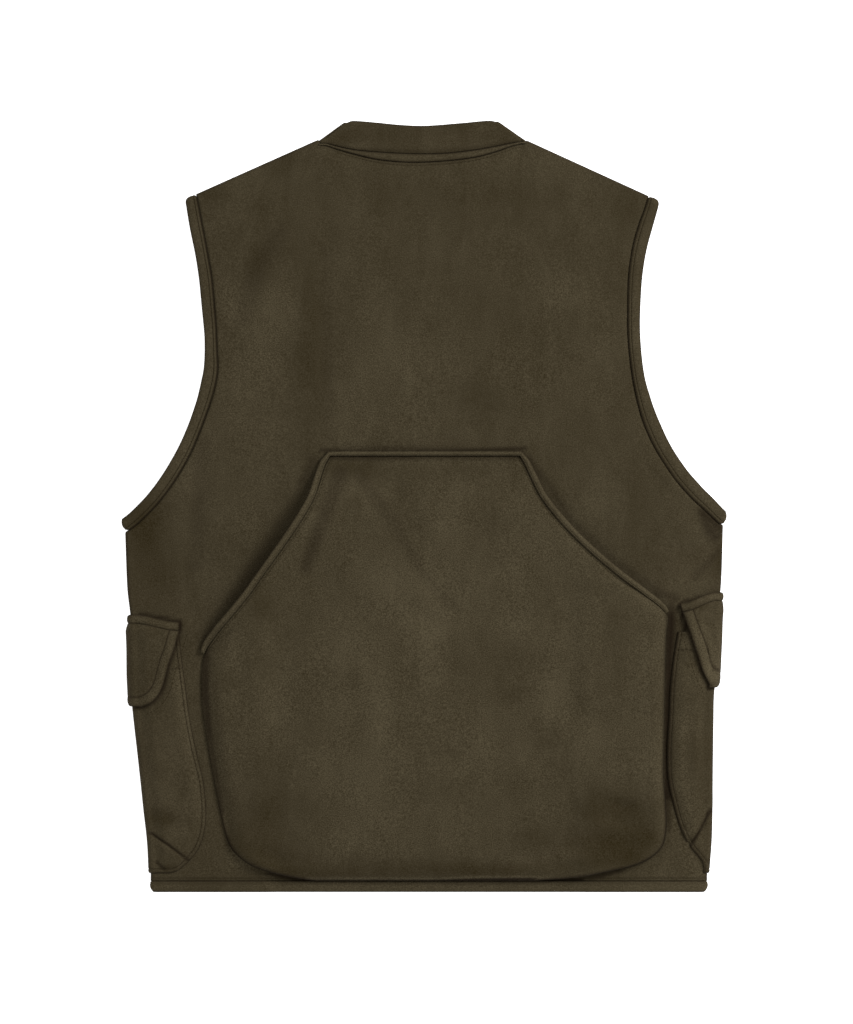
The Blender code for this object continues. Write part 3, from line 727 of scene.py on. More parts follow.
def body_rows(part):
    """Rows of the back, or of the left or right front."""
    layer, step = (1, BACK_STEP) if part == "back" else (-1, FRONT_STEP)
    lefts, rights = edge_rows("left", step), edge_rows("right", step)
    ends = zip(lefts, rights, edge_slopes(lefts), edge_slopes(rights))
    rows = []
    for (left_x, left_y, share), (right_x, right_y, _), left_slope, right_slope in ends:
        row = []
        at_arm = left_x < side_line("left", left_y) - 2
        for x in body_columns(part, -left_x, right_x):
            across = (x + left_x) / (left_x + right_x)
            top_x = -lefts[-1][0] + across * (lefts[-1][0] + rights[-1][0])
            top_y = lefts[-1][1] + across * (rights[-1][1] - lefts[-1][1])
            height = left_y + across * (right_y - left_y)
            height += (top_edge(top_x, layer) - top_y) * share**TOP_LEAN
            arm = min((x + left_x) * left_slope, (right_x - x) * right_slope)
            at_neck = abs(x) < neck_end(x)
            top = top_edge(x, layer) - height
            neck_dark = 0.6 - 0.4 * smooth((abs(x) - 50) / 40)
            raised = mark = 0.0
            for edge, stitch, dark in (
                (arm if at_arm else FAR, None, 0.85),
                (top if at_neck else FAR, BACK_STITCH, neck_dark),
                (height - PANEL_FOOT, BACK_STITCH, 0.5),
            ):
                if edge < SEWN_REACH:
                    pull = ripple(x / PUCKER, height / PUCKER, 1.7)
                    raised += seam_shape(edge, stitch)
                    raised += 0.22 * pull * fall(edge - 4, 4)
                    mark = max(mark, dark * seam_mark(edge, stitch))
            # Painted shade where the panel turns round a fold.
            if not at_arm:
                mark = max(mark, OUTLINE_SHADE * fall(arm, 1.5))
            if not at_neck and top < 6:
                mark = max(mark, OUTLINE_SHADE * fall(top, 1.5))
            if part == "back":
                mark = max(mark, shaded(BACK_SHADE_BANDS, x, height))
            rise, nap = relief(part, x, height)
            row.append((body_point(x, height, layer, raised * layer + rise), mark, nap))
        rows.append(row)
    return rows


HEM_CORNER = 5.4  # how round the hem's corners are at the side folds
END_SOFT = 0.4  # a round end's tip is flattened by this much
NECK_PAST = 1.3  # how far the neck band runs on past the collar's end folds
NECK_PAD = 0.4  # how much thicker the neck band is than a bound edge


def turn(at, outward, steps):
    """The way round a fold: places and thickness directions, from the back to the front."""
    for k in range(1, steps):
        angle = math.pi / 2 - math.pi * k / steps
        around = outward * math.cos(angle) + UP * math.sin(angle)
        yield at + around * FOLD, around


def round_off(along, radius):
    """How much a round end falls back from its widest, at a distance from its tip."""
    left = radius - min(along + END_SOFT, radius)
    return radius - math.sqrt(radius**2 - left**2)


def armhole_stations(side):
    """The armhole binding's ring: up the back, over the shoulder, and down the front."""
    sign = SIGN[side]
    turn_foot = Vector((*UNDERARM_TURN[side], 0)).normalized()
    (ax, ay), (bx, by) = SHOULDER[side]
    turn_head = Vector((ax - bx, ay - by, 0)).normalized()
    foot, head = ARMHOLE[side][1][0], ARMHOLE[side][-1][0]
    tall = head - foot
    last = (head - (CLOTH / 2 + FOLD) / SLOPED - foot) / tall
    shares = [0.0] + between(0.0, last, 3.0 / tall)
    seam = [(armhole(side, foot + s * tall), foot + s * tall) for s in shares]
    back = []
    for k, (share, (x, height)) in enumerate(zip(shares, seam)):
        before, after = beside(seam, k, 2)
        out = Vector((sign * (after[1] - before[1]), before[0] - after[0], 0)).normalized()
        out = out.lerp(turn_foot, 1 - smooth(share / TURN_SHARE))
        out = out.lerp(turn_head, smooth((share - last + TURN_SHARE) / TURN_SHARE)).normalized()
        back.append((Vector((sign * x, height, 0)) + out * (SEAM + BINDING_EASE), out))

    def flat(place, out, layer):
        z = centre(place.x, place.y) + layer * FOLD + PROUD
        wide = armhole_width(side, place.y - out.y * SEAM)
        return (Vector((place.x, place.y, z)), out, UP * layer, wide, BINDING_THICKNESS)

    def fold(place, out, outward, roundness):
        at = Vector((place.x, place.y, centre(place.x, place.y) + PROUD))
        wide = armhole_width(side, place.y)
        stations = []
        for spot, around in turn(at, outward, 14):
            from_tip = (FOLD + BINDING_THICKNESS / 2) * (1 - around.dot(outward))
            less = roundness * round_off(from_tip, wide / 2)
            # The corner beside the seam is rounded less than the outer one.
            foot = spot + out * 0.35 * less
            stations.append((foot, out, around, wide - 1.35 * less, BINDING_THICKNESS))
        return stations

    head_up = Vector((turn_head.y, -turn_head.x, 0)) * -sign
    foot_down = Vector((-turn_foot.y, turn_foot.x, 0)) * -sign
    stations = [flat(place, out, 1) for place, out in back]
    stations += fold(*back[-1], head_up, 0.45)
    stations += [flat(place, out, -1) for place, out in reversed(back)]
    return stations + fold(*back[0], foot_down, 0.85)[::-1]


def hem_stations():
    """The hem band, from one front edge round the back to the other."""
    down = Vector((0, -1, 0))
    tip = FOLD + BINDING_THICKNESS / 2

    def station(side, along):
        at = wrap_point(side, along, HEM_WIDTH, 0.0) + UP * PROUD
        if abs(along) < QUARTER:
            angle = along / FOLD
            around = Vector((SIGN[side] * math.cos(angle), 0, math.sin(angle)))
            from_tip = tip * (1 - math.cos(angle))
        else:
            around = UP if along > 0 else -UP
            from_tip = tip + abs(along) - QUARTER
        return (at, down, around, HEM_WIDTH - round_off(from_tip, HEM_CORNER), BINDING_THICKNESS)

    bend = [QUARTER * k / 7 for k in range(-6, 7)]
    paths = {}
    for side in SIGN:
        run = side_line(side, HEM_WIDTH) - FOLD - FRONT_GAP / 2
        reach = [QUARTER + r for r in [0.0, 0.8, 1.6, 2.4] + between(2.4, run, 3.2)]
        paths[side] = [station(side, a) for a in [-a for a in reach[::-1]] + bend + reach]
    return paths["left"] + paths["right"][::-1][1:]


def neck_places(step):
    """Places along the back neckline, from the collar's left end fold to its right one."""
    left, right = COLLAR_FOLD["left"][0][0], COLLAR_FOLD["right"][0][0]
    return [left] + between(left, right, step)


def neck_stations():
    """The padded ridge under the collar seam, widest at the centre back."""
    stations = []
    left, *inner, right = neck_places(2.0)
    for x in [left - NECK_PAST, *inner, right + NECK_PAST]:
        place = body_point(x, read(NECK_SEAM, x), 1)
        width = max(read(NECK_SEAM, x, 2) - place.y - SEAM, 1.5)
        thickness = BINDING_THICKNESS + NECK_PAD
        stations.append((place + UP * PROUD, Vector((0, 1, 0)), UP, width, thickness))
    return stations


COLLAR_CLOSE = [0.0, 0.05, 0.1, 0.17]
COLLAR_STITCH = 2.2
COLLAR_BASE = -0.33  # nap of the collar on the back, a little darker than elsewhere
# Across, height, how wide, how tall, lighter or darker.
COLLAR_NAP = [
    (-35, 720, 22, 8, -0.5), (-82, 720, 12, 10, -0.6), (75, 716, 18, 9, -0.4), (-66, 707, 16, 6, 0.8),
    (20, 712, 30, 8, 0.4),
]


def collar_rows():
    """The stand collar: one strip from front edge to front edge, folded at both ends."""
    columns = []
    shares = COLLAR_CLOSE + between(COLLAR_CLOSE[-1], 0.9, 0.09) + [0.94, 0.975, 1.0]

    def column(foot, top, z, layer):
        tall = (top - foot).length
        ends = smooth((abs(COLLAR_FOLD[side_of(foot.x)][0][0]) - abs(foot.x)) / 14 + 0.1)
        line = []
        for share in shares:
            edge, rim = share * tall, (1 - share) * tall
            over = seam_shape(edge, COLLAR_STITCH) - 0.8 * fall(rim, 1.2)
            over += 0.2 * ripple(foot.x / PUCKER, edge / 6.0, 3.1) * fall(edge, 6)
            over += 0.35 * ripple(foot.x / 28.0, edge / 30.0, 8.1)
            mark = max(0.75 * ends * seam_mark(edge, COLLAR_STITCH), OUTLINE_SHADE * fall(rim, 1.4))
            nap = COLLAR_BASE + patches(COLLAR_NAP, foot.x, foot.y + edge) if layer > 0 else 0.0
            line.append((Vector((*foot.lerp(top, share), z + layer * over)), mark, nap))
        columns.append(line)

    def front(side):
        foot_end, top_end = (Vector(end) for end in COLLAR_FOLD[side])
        low = foot_end.y - FRONT_NECK_DROP + COLLAR_STAND
        end = COLLAR_FOLD[side][0][0]
        # Closer together towards the end, where the ellipse of the neckline turns steep.
        places = [end * math.sin(math.pi / 2 * t) for t in between(0.004, 1.0, 0.03)]
        for x in places if side == "left" else places[::-1]:
            part = min(x / foot_end.x, 1.0)
            foot = Vector((x, front_neck(x)))
            depth = math.sqrt(1 - part**2)
            top = Vector((top_end.x * part, top_end.y + (low - top_end.y) * depth))
            column(foot, top, centre(foot.x, foot.y) - FOLD, -1)

    def fold(side, order):
        foot, top = (Vector(end) for end in COLLAR_FOLD[side])
        way = (top - foot).normalized()
        outward = Vector((way.y, -way.x, 0)) * SIGN[side]
        turned = list(turn(Vector((0, 0, centre(foot.x, foot.y))), outward, 10))
        for spot, around in turned[::order]:
            shift = Vector((spot.x, spot.y))
            column(foot + shift, top + shift, spot.z, around.z)

    (left_foot, left_top), (right_foot, right_top) = (COLLAR_FOLD[s] for s in SIGN)
    front("left")
    fold("left", -1)
    for x in neck_places(2.5):
        share = (x - left_foot[0]) / (right_foot[0] - left_foot[0])
        top_x = left_top[0] + share * (right_top[0] - left_top[0])
        foot = Vector((x, read(NECK_SEAM, x, 2)))
        top = Vector((top_x, read(COLLAR_TOP, top_x)))
        column(foot, top, centre(x, foot.y) + FOLD, 1)
    fold("right", 1)
    front("right")
    return columns


POCKET_STITCH = 3.4  # the edge seam's topstitch
POCKET_MOUTH = {"left": 212.4, "right": 229.5}  # height of the mouth's hem stitch
POCKET_RIM = {"left": 1.0, "right": 2.0}  # width of the dark line at a pocket's edge: its seam, widened by painted shade on the right
POCKET_SHADE = {"left": 0.0, "right": 0.68}  # beside the pouch, the pocket's edge lies in shade
# From, to, width and rise, along the fold and up, in millimetres.
POCKET_FOLDS = {
    "left": [
        (2, 56, 36, 30, 2.2, -2.2), (6, 50, 38, 26, 4, 1.2), (4, 28, 14, 20, 2.5, -0.7),
        (0, 70, 26, 74, 7, -1), (6, 150, 16, 110, 10, 0.7),
    ],
    "right": [
        (0, 74, 24, 40, 2.2, -2.2), (4, 84, 28, 50, 4, 1.2), (4, 30, 20, 22, 2.5, -0.6),
        (10, 150, 16, 110, 10, 0.7),
    ],
}
# The bellows' mitre folds at the foot, and how dark the painted shade in each is.
POCKET_CREASE = {
    "left": [([(3.5, 56), (20, 44), (37, 30)], 0.95), ([(7, 28.5), (14, 22.5)], 0.7)],
    "right": [([(1, 79), (9, 60), (18, 43)], 0.95)],
}
# Along the cloth from the fold, height, how wide, how tall, lighter or darker: the nap's uneven tone,
# with painted light and shade among the patches.
POCKET_NAP_LIGHT_SHADE = {
    "left": [
        (52, 144, 8, 60, 0.8), (47, 190, 9, 26, 0.8), (18, 71, 15, 9, -1.5), (40, 66, 7, 7, -0.5),
        (26, 59, 8, 7, 0.5), (18, 22, 9, 5, -0.7), (20, 175, 10, 10, -0.6), (13, 115, 10, 10, -0.4),
        (14, 130, 12, 30, -0.2),
    ],
    "right": [
        (30, 200, 12, 24, 0.3), (16, 120, 10, 30, -0.3), (6, 50, 10, 14, 0.3), (27, 130, 6, 38, 0.5),
        (30, 238, 9, 9, 0.9), (21, 66, 8, 20, 0.7), (3, 130, 5, 30, -0.5), (4, 23, 6, 8, 0.6),
    ],
}
# Along the cloth from the fold, height, how wide, how tall, lighter or darker: painted light and shade
# on the flaps.
FLAP_NAP_LIGHT_SHADE = {"left": [], "right": [(3, 216, 7, 20, 1.1), (20, 271, 14, 4, -0.6)]}
FLAP_SHADOW = {"left": 3.4, "right": 3.0}  # width of the painted shadow that a flap's free edge casts on the pocket
FLAP_BORDER = 8.2  # the flap's topstitch, in from its edge
FLAP_INSIDE = 9.0  # stands for the way to the free edge on most of the flap's front part
FLAP_CORNER = 3.4  # how round the flap's corners are at the side fold
FLAP_AROUND = -20.0  # how far round the front the line of the flap's free edge goes
POCKET_COLUMNS, FLAP_COLUMNS, WRAP_COLUMNS = 64, 54, 16  # on the back, and round the front
FOLD_SHADE_WIDTH = 1.6  # width of the painted shade where a wrapped piece turns round the side fold


def pocket_front_edge(height):
    """Where the pocket ends on the front, with a round lower corner."""
    part = min(max((height - POCKET_FOOT) / POCKET_CORNER, 0.0), 1.0)
    return POCKET_WRAP + POCKET_CORNER * (1 - math.sqrt(1 - (1 - part) ** 2))


def pocket_bulge(side, along, height):
    """How far the pocket's back part stands off the body inside its edges."""
    inside = smooth(min(pocket_back(side, height) - along, height - POCKET_FOOT) / POCKET_SLOPE)
    return POCKET_BULGE * inside * smooth((along - QUARTER) / POCKET_SLOPE)


def wrapped_places(front, back, count):
    """Places across a wrapped piece, from its front edge round the fold to its back edge."""
    bend = [QUARTER * k / 5 for k in range(-5, 6)]
    inner = [-QUARTER - c for c in spread(front - QUARTER, count=WRAP_COLUMNS)[1:]][::-1]
    outer = [QUARTER + c for c in spread(back - QUARTER, count=count)[1:]]
    return inner + bend + outer


def even_rows(low, high, step=1.5):
    """Heights of a wrapped piece's rows, close together next to its ends."""
    return [low + c for c in spread(high - low, step)]


def pocket_outline(side):
    """The sewn edge of the pocket on the back, as a line of cloth places and heights."""
    heights = even_rows(POCKET_FOOT, POCKET_TOP)[:-2:4] + [POCKET_TOP]
    return [(0.0, POCKET_FOOT)] + [(pocket_back(side, height), height) for height in heights]


def pocket_rows(side):
    """Rows of a side pocket, up from its foot."""
    outline, flap = pocket_outline(side), flap_shadow(side)
    rows = []
    for height in even_rows(POCKET_FOOT, POCKET_TOP):
        mouth = height - POCKET_MOUTH[side]
        rim = 0.65 + 0.35 * smooth((height - 60) / 40)
        shade = POCKET_SHADE[side] * smooth((height - 75) / 30) * (1 - smooth((height - 200) / 30))
        front = along_for(side, pocket_front_edge(height), height)
        row = []
        for a in wrapped_places(front, pocket_back(side, height), POCKET_COLUMNS):
            out = LAYER + pocket_bulge(side, a, height)
            if a > 0:
                edge = near_line(a, height, outline)[0]
                out += seam_shape(edge, POCKET_STITCH)
                out -= GROOVE * fall(mouth, GROOVE_WIDTH)
                out += smooth(a / 4) * folds(POCKET_FOLDS[side], a, height)
                out += 0.5 * waves(a, height, 34.0, 5 + COLUMN[side]) * smooth(edge / 8)
                # Besides the dark seam and mouth lines: painted shade on the right pocket's edge beside
                # the pouch, the flap's painted shadow, painted shade round the fold and in the mitre
                # creases.
                mark = max(
                    seam_mark(edge, POCKET_STITCH),
                    0.7 * fall(mouth, 0.7),
                    rim * fall(edge, POCKET_RIM[side]),
                    shade * fall(edge, 4.8, 3),
                    0.75 * fall(near_line(a, height, flap)[0], FLAP_SHADOW[side], 3),
                    OUTLINE_SHADE * fall(a, FOLD_SHADE_WIDTH),
                )
                for line, strength in POCKET_CREASE[side]:
                    mark = max(mark, strength * fall(near_line(a, height, line)[0], 1.6))
            else:
                edge = min(a + front, height - POCKET_FOOT)
                out += 0.6 * seam_shape(edge, POCKET_STITCH)
                mark = seam_mark(edge, POCKET_STITCH)
            nap = 0.4 * waves(a, height, 30.0, 9 + COLUMN[side])
            nap += patches(POCKET_NAP_LIGHT_SHADE[side], a, height)
            row.append((wrap_point(side, a, height, out), mark, nap))
        rows.append(row)
    return rows


def flap_place(side, along, drop):
    """A flap's height and distance out, at a cloth place and a drop below its top, and how
    far the place is on the back."""
    back = flap_back(side, drop)
    climb = FLAP_CLIMB[side] * smooth((back - along) / (back - QUARTER))
    climb *= 1 - smooth((drop - 30) / 50)
    height = FLAP_TOP[side] - drop + climb
    over = smooth((POCKET_TOP + FLAP_STEP - height) / FLAP_STEP)
    on_back = smooth(1 + along / QUARTER)
    over = max(over, on_back * (1 - smooth(along / 16)) * smooth((drop - 5) / 14))
    out = LAYER * (1 + over) + pocket_bulge(side, along, min(height, POCKET_TOP))
    return height, out, on_back


def flap_border(edge):
    """The padded border of a flap's free edge, which stands off the pocket under it."""
    curl = 1.8 * (1 - smooth(edge / 16))
    padded = 0.7 * bump((edge - FLAP_BORDER / 2) / (FLAP_BORDER / 2))
    return curl + padded - 1.1 * fall(edge, 1.0) - GROOVE * fall(edge - FLAP_BORDER, GROOVE_WIDTH)


def flap_outline(side):
    """The flap's free edge on the back, as a line of cloth places and drops."""
    drops = [FLAP_ROLL] + between(FLAP_ROLL, FLAP_FOOT, 3.0)
    line = [(flap_back(side, drop), drop) for drop in drops]
    return line + [(0.0, FLAP_FOOT), (FLAP_AROUND, FLAP_FOOT)]


def flap_shadow(side):
    """The flap's free edge as it hangs over the pocket, in cloth places and heights, along which the
    flap's painted shadow lies on the pocket.
    """
    return [(along, flap_place(side, along, drop)[0]) for along, drop in flap_outline(side)]


def flap_rows(side):
    """Rows of a pocket flap, down from its rolled top edge."""
    outline = flap_outline(side)
    beside_roll = [FLAP_ROLL + c for c in (-1.6, -1.2, -0.8, -0.4, 0.0, 0.4, 0.8, 1.2, 1.6)]
    others = [d for d in even_rows(0.0, FLAP_FOOT, 1.1) if abs(d - FLAP_ROLL) > 1.9]
    rows = []
    for drop in sorted(others + beside_roll):
        back = flap_back(side, drop)
        inner = POCKET_WRAP + read(FLAP_EDGE, drop, COLUMN[side]) - FLAP_EDGE[0][COLUMN[side]]
        front = along_for(side, inner, FLAP_TOP[side] - drop)
        crease = fall(drop - FLAP_ROLL, 0.9)
        row = []
        for along in wrapped_places(front, back, FLAP_COLUMNS):
            height, out, on_back = flap_place(side, along, drop)
            inside = 0.35 + 0.65 * smooth(along / 10)
            out += FLAP_EASE * on_back
            if drop < FLAP_ROLL:
                out += FLAP_ROLL_RISE * inside * on_back * math.sin(math.pi * drop / FLAP_ROLL)
            out -= on_back * crease
            mark = max(crease, OUTLINE_SHADE * fall(along, FOLD_SHADE_WIDTH))
            nap = 0.4 * waves(along, height, 26.0, 15 + COLUMN[side])
            nap += patches(FLAP_NAP_LIGHT_SHADE[side], along, height)
            if drop > FLAP_ROLL:
                near = along > FLAP_AROUND + 1
                edge = near_line(along, drop, outline)[0] if near else FLAP_INSIDE
                out += inside * on_back * flap_border(edge)
                out += inside * on_back * 0.35 * waves(along, height, 22.0, 12 + COLUMN[side])
                # The topstitch's dark line, painted shade along the rolled free edge, and a painted
                # highlight on the padded border.
                sewn = 0.8 * fall(edge - FLAP_BORDER, 0.75)
                mark = max(mark, sewn, 0.85 * fall(edge, 1.1))
                nap += 0.4 * bump(2 * edge / FLAP_BORDER - 1)
            else:
                # A dark line at the roll's top edge, painted shade at its end, and a painted highlight
                # along the roll's middle.
                mark = max(mark, 0.75 * fall(drop, 1.2), 0.85 * fall(back - along, 1.3))
                nap += 0.45 * bump(2 * drop / FLAP_ROLL - 1)
            if abs(along) < QUARTER:
                corner = round_off((FOLD + out) * (1 - math.cos(along / FOLD)), FLAP_CORNER)
                height += corner * smooth((drop - FLAP_FOOT) / 12 + 1)
                height -= corner * (1 - smooth(drop / 6))
            row.append((wrap_point(side, along, height, out), mark, nap))
        rows.append(row)
    return rows


GAPE = {"left": 6.0, "right": 3.0}  # how much further the hand openings stand off
POUCH_CORNER = 40.0  # height at which the pouch's round bottom meets its sides
POUCH_STITCH = 2.4
POUCH_STEP = 2.9
POUCH_LIP_HIGHLIGHT = 2.0  # height of the painted highlight on the bottom edge's rounded lip
POUCH_LIP_HIGHLIGHT_END = 125.0
# From, to, width and rise, in millimetres.
POUCH_FOLDS = [
    (-40, 400, 2, 322, 15, -1.3), (-10, 330, 40, 260, 22, -0.7), (-98, 350, -70, 300, 20, 1.2),
    (60, 360, 110, 330, 22, 0.9), (-80, 260, -60, 200, 26, 1), (182, 60, 190, 90, 22, -2.6),
    (120, 36, 160, 30, 7, 1.6), (150, 48, 205, 52, 9, -1.2), (100, 50, 150, 84, 16, -0.8),
    (-160, 34, -130, 30, 10, -1.6), (-190, 80, -150, 60, 18, -1.2), (40, 140, 70, 120, 18, 0.9),
    (-120, 120, -60, 140, 30, 0.8), (90, 220, 120, 190, 20, -0.9), (-120, 296, 130, 304, 2.5, 0.35),
    (-60, 60, 40, 50, 26, 0.8),
]
# Across, height, how wide, how tall, lighter or darker: the nap's uneven tone, with painted light and
# shade among the patches.
POUCH_NAP_LIGHT_SHADE = [
    (-70, 404, 26, 9, -1.4), (-70, 370, 10, 8, -0.7), (-14, 292, 34, 16, 0.75), (-78, 229, 28, 24, 0.7),
    (2, 248, 28, 22, 0.6), (5, 222, 15, 17, 0.4), (53, 131, 22, 26, 0.35), (76, 218, 18, 14, -0.35),
    (106, 344, 26, 22, 0.3), (-25, 362, 16, 40, -0.2), (20, 345, 16, 18, 0.5), (104, 222, 16, 14, -0.2),
    (121, 192, 16, 28, 0.8), (90, 250, 18, 11, 0.5), (186, 76, 36, 24, -1.4), (180, 44, 36, 15, -1.6),
    (-142, 32, 40, 18, -1), (-150, 78, 28, 42, -0.9), (-186, 200, 9, 8, -0.6), (-42, 165, 14, 44, 1.1),
    (-75, 180, 20, 30, 0.4), (-112, 150, 14, 16, -0.4), (-155, 270, 15, 17, -0.5),
    (-60, 110, 30, 22, 0.55), (-70, 60, 24, 28, 0.4), (160, 150, 24, 20, 0.3),
    (134, 122, 14, 16, -0.45), (60, 165, 15, 17, 0.5), (30, 100, 24, 16, -0.3), (100, 50, 24, 13, -0.6),
    (137, 33, 18, 7, 0.5), (-120, 90, 26, 30, -0.25), (20, 400, 60, 10, -0.35),
    (186, 245, 17, 28, -0.45), (20, 24, 110, 10, -1.1), (168, 28, 26, 8, -0.9), (-45, 392, 12, 9, -0.7),
    (-160, 272, 14, 14, -0.3), (-150, 215, 18, 18, -0.45), (-130, 242, 14, 10, -0.3),
    (-140, 170, 14, 24, 0.4), (-50, 310, 14, 18, 0.4), (-25, 262, 18, 18, 0.35),
    (-22, 218, 11, 9, 0.45), (66, 350, 7, 36, -0.45), (90, 190, 17, 11, -0.45),
    (120, 146, 15, 15, -0.6), (125, 265, 9, 18, -0.35), (90, 300, 13, 12, 0.35), (180, 262, 9, 7, -0.5),
    (20, 130, 24, 9, -0.35), (55, 80, 14, 24, -0.35), (155, 80, 9, 14, -0.5), (-65, 30, 11, 11, -0.45),
    (105, 120, 9, 13, 0.35), (85, 31, 30, 5, 0.5), (-168, 40, 9, 9, -0.4), (-132, 20, 14, 5, -0.5),
    (213, 52, 9, 10, -0.9), (196, 34, 12, 8, -0.7), (50, 20, 80, 6, -0.5), (-178, 50, 8, 12, -0.6),
    (-90, 17, 40, 6, -0.7), (150, 288, 26, 8, -0.3),
]
# Strength, width at both ends, and where each band of painted shade runs, in the pouch's creases, along
# its left side and under its foot.
POUCH_SHADE_BANDS = [
    (0.42, 9, 6, [(-80, 395), (-97, 350), (-112, 308)]),
    (0.2, 7, 5, [(-62, 396), (-25, 345), (8, 290), (30, 270)]),
    (0.7, 4.5, 3.2, [(-207, 230), (-207, 190), (-203, 150)]),
    (0.52, 3.2, 2.2, [(-203, 150), (-191, 75)]), (1, 1.4, 1.5, [(16, 11.8), (60, 12.9), (104, 13.2)]),
]


def pouch_rise(x, height):
    """How far the pouch stands off the back: nothing at its seams, most inside them."""
    left, right = read(POUCH_EDGE, height, 1), read(POUCH_EDGE, height, 2)
    from_left, from_right = x - left, right - x
    side = "left" if from_left < from_right else "right"
    lip = min(from_left, from_right)
    near = min(max(min(lip, height - POUCH_FOOT) / POUCH_TURN, 0.0), 1.0)
    sewn = math.sqrt(1 - (1 - near) ** 2)
    if side == "left":
        soft = smooth((from_left + 3) / 24)
        sewn += (soft - sewn) * smooth((height - 30) / 30) * (1 - smooth(from_left / 40))
    gape = smooth((height - POUCH_OPEN[side]) / OPEN_RUN)
    top = smooth((POUCH_TOP - height) / POUCH_TOP_RUN)
    curl = GAPE[side] * gape * smooth((POUCH_TOP - height) / 90) * (1 - smooth(lip / 60))
    return POUCH_RISE * top * max(sewn, gape) + curl


def pouch_point(x, height, raised=0.0):
    """A point of the pouch's panel."""
    z = centre(x, height) + FOLD + LAYER + pouch_rise(x, height) + raised
    return Vector((x, height, z))


def pouch_edge(side, heights):
    """Places of the pouch's outline on one side, at some heights."""
    return [(read(POUCH_EDGE, height, COLUMN[side]), height) for height in heights]


def pouch_side(side):
    """One side of the pouch's outline, from its round bottom up to its top corner."""
    return pouch_edge(side, even_rows(POUCH_CORNER, POUCH_TOP, POUCH_STEP))


def pouch_bottom():
    """The pouch's round bottom edge, from its left side to its right side."""
    heights = [POUCH_FOOT] + between(POUCH_FOOT, POUCH_CORNER, 1.5)
    left, right = (pouch_edge(side, heights) for side in SIGN)
    flat = [(x, POUCH_FOOT) for x in between(left[0][0], right[0][0], 6.0)[:-1]]
    return left[::-1] + flat + right


def along_line(line, shares):
    """Points at shares of a line's length."""
    steps = [math.dist(a, b) for a, b in zip(line, line[1:])]
    marks = np.concatenate([[0.0], np.cumsum(steps)]) / sum(steps)
    return list(zip(*(np.interp(shares, marks, values) for values in zip(*line))))


def pouch_relief(x, height):
    """How far the pouch's creases raise it at a place."""
    rise = folds(POUCH_FOLDS, x, height)
    return rise + (1.1 * waves(x, height, 75.0, 21) + 0.35 * waves(x, height, 26.0, 22))


def pouch_rows():
    """Rows of the pouch's panel: they follow its outline all round, so that its seams do too."""
    lefts, rights, bottom = pouch_side("left"), pouch_side("right"), pouch_bottom()
    wide = rights[0][0] - lefts[0][0]
    shares = [s / wide for s in spread(wide, POUCH_STEP)]
    foot = along_line(bottom, shares)
    low, high = lefts[0][1], lefts[-1][1]
    left_edge, right_edge = (line[:-2:4] + [line[-1]] for line in (lefts, rights))
    rows = []
    for (left_x, height), (right_x, _) in zip(lefts, rights):
        down = 1 - (height - low) / (high - low)
        row = []
        for share, (foot_x, foot_y) in zip(shares, foot):
            x = left_x + share * (right_x - left_x) + down * (foot_x - (lefts[0][0] + share * wide))
            y = height + down * (foot_y - low)
            # An edge that can't be the nearest one isn't measured.
            edge = min(
                near_line(x, y, left_edge)[0] if share < 0.25 else FAR,
                near_line(x, y, right_edge)[0] if share > 0.75 else FAR,
                near_line(x, y, bottom)[0] if y < 90 else FAR,
            )
            top = POUCH_TOP - y
            bound = smooth((y - POUCH_OPEN[side_of(x)] + 4) / 8)
            raised = (0.6 + 0.4 * bound) * seam_shape(edge) + seam_shape(top)
            raised -= bound * GROOVE * fall(edge - POUCH_STITCH, GROOVE_WIDTH)
            raised += pouch_relief(x, y) * smooth(min(edge, top) / 16)
            pull = ripple(x / PUCKER, y / PUCKER, 6.1)
            raised += 0.2 * pull * fall(min(edge, top) - 5, 4)
            # The top seam's dark line spreads into painted shade under the binding, and a painted
            # shadow lies along the foot where the pouch overhangs the hem.
            top_dark = 0.6 - 0.14 * smooth((x + 20) / 40)
            side_dark = (1 - bound) * (0.6 + 0.3 * (1 - smooth((y - 60) / 120)))
            mark = max(
                bound * 0.3 * seam_mark(edge, POUCH_STITCH),
                top_dark * fall(top, 4.2, 4),
                side_dark * fall(edge, 1.6),
                shaded(POUCH_SHADE_BANDS, x, y),
                fall(y - POUCH_FOOT, 1.1),
            )
            # A painted highlight along the rounded lip of the pouch's bottom edge.
            lip = bump((y - POUCH_FOOT - POUCH_LIP_HIGHLIGHT - 1.6 * smooth((x - 10) / 40)) / POUCH_LIP_HIGHLIGHT)
            lip *= smooth((POUCH_LIP_HIGHLIGHT_END - abs(x)) / 20)
            nap = 0.35 + patches(POUCH_NAP_LIGHT_SHADE, x, y) + 1.3 * lip
            row.append((pouch_point(x, y, raised), mark, nap))
        rows.append(row)
    return rows


def pouch_binding_stations():
    """The bound edge over the left opening, the top and the right opening."""
    left, right = (
        pouch_edge(side, [POUCH_OPEN[side]] + between(POUCH_OPEN[side], POUCH_TOP, 3.0))
        for side in SIGN
    )
    top = [(x, POUCH_TOP) for x in between(left[-1][0] + 9, right[-1][0] - 9, 3.0)]
    path = [pouch_point(x, height) for x, height in left + top + right[::-1]]
    proud = (POUCH_BINDING_THICKNESS - CLOTH) / 2
    stations = []
    for k, place in enumerate(path):
        before, after = beside(path, k, 2)
        way = (after - before).xy
        across = Vector((-way.y, way.x, 0)).normalized()
        climbed = place.y - POUCH_OPEN[side_of(place.x)]
        width = read(POUCH_BOUND, place.y) * (0.6 + 0.4 * smooth((climbed + 3) / 14))
        foot = place + across * SEAM + UP * proud
        stations.append((foot, across, UP, width, POUCH_BINDING_THICKNESS))
    return stations


ON_TOP = CLOTH / 2 - 0.05  # stitches lie on the cloth's upper face, a little sunk


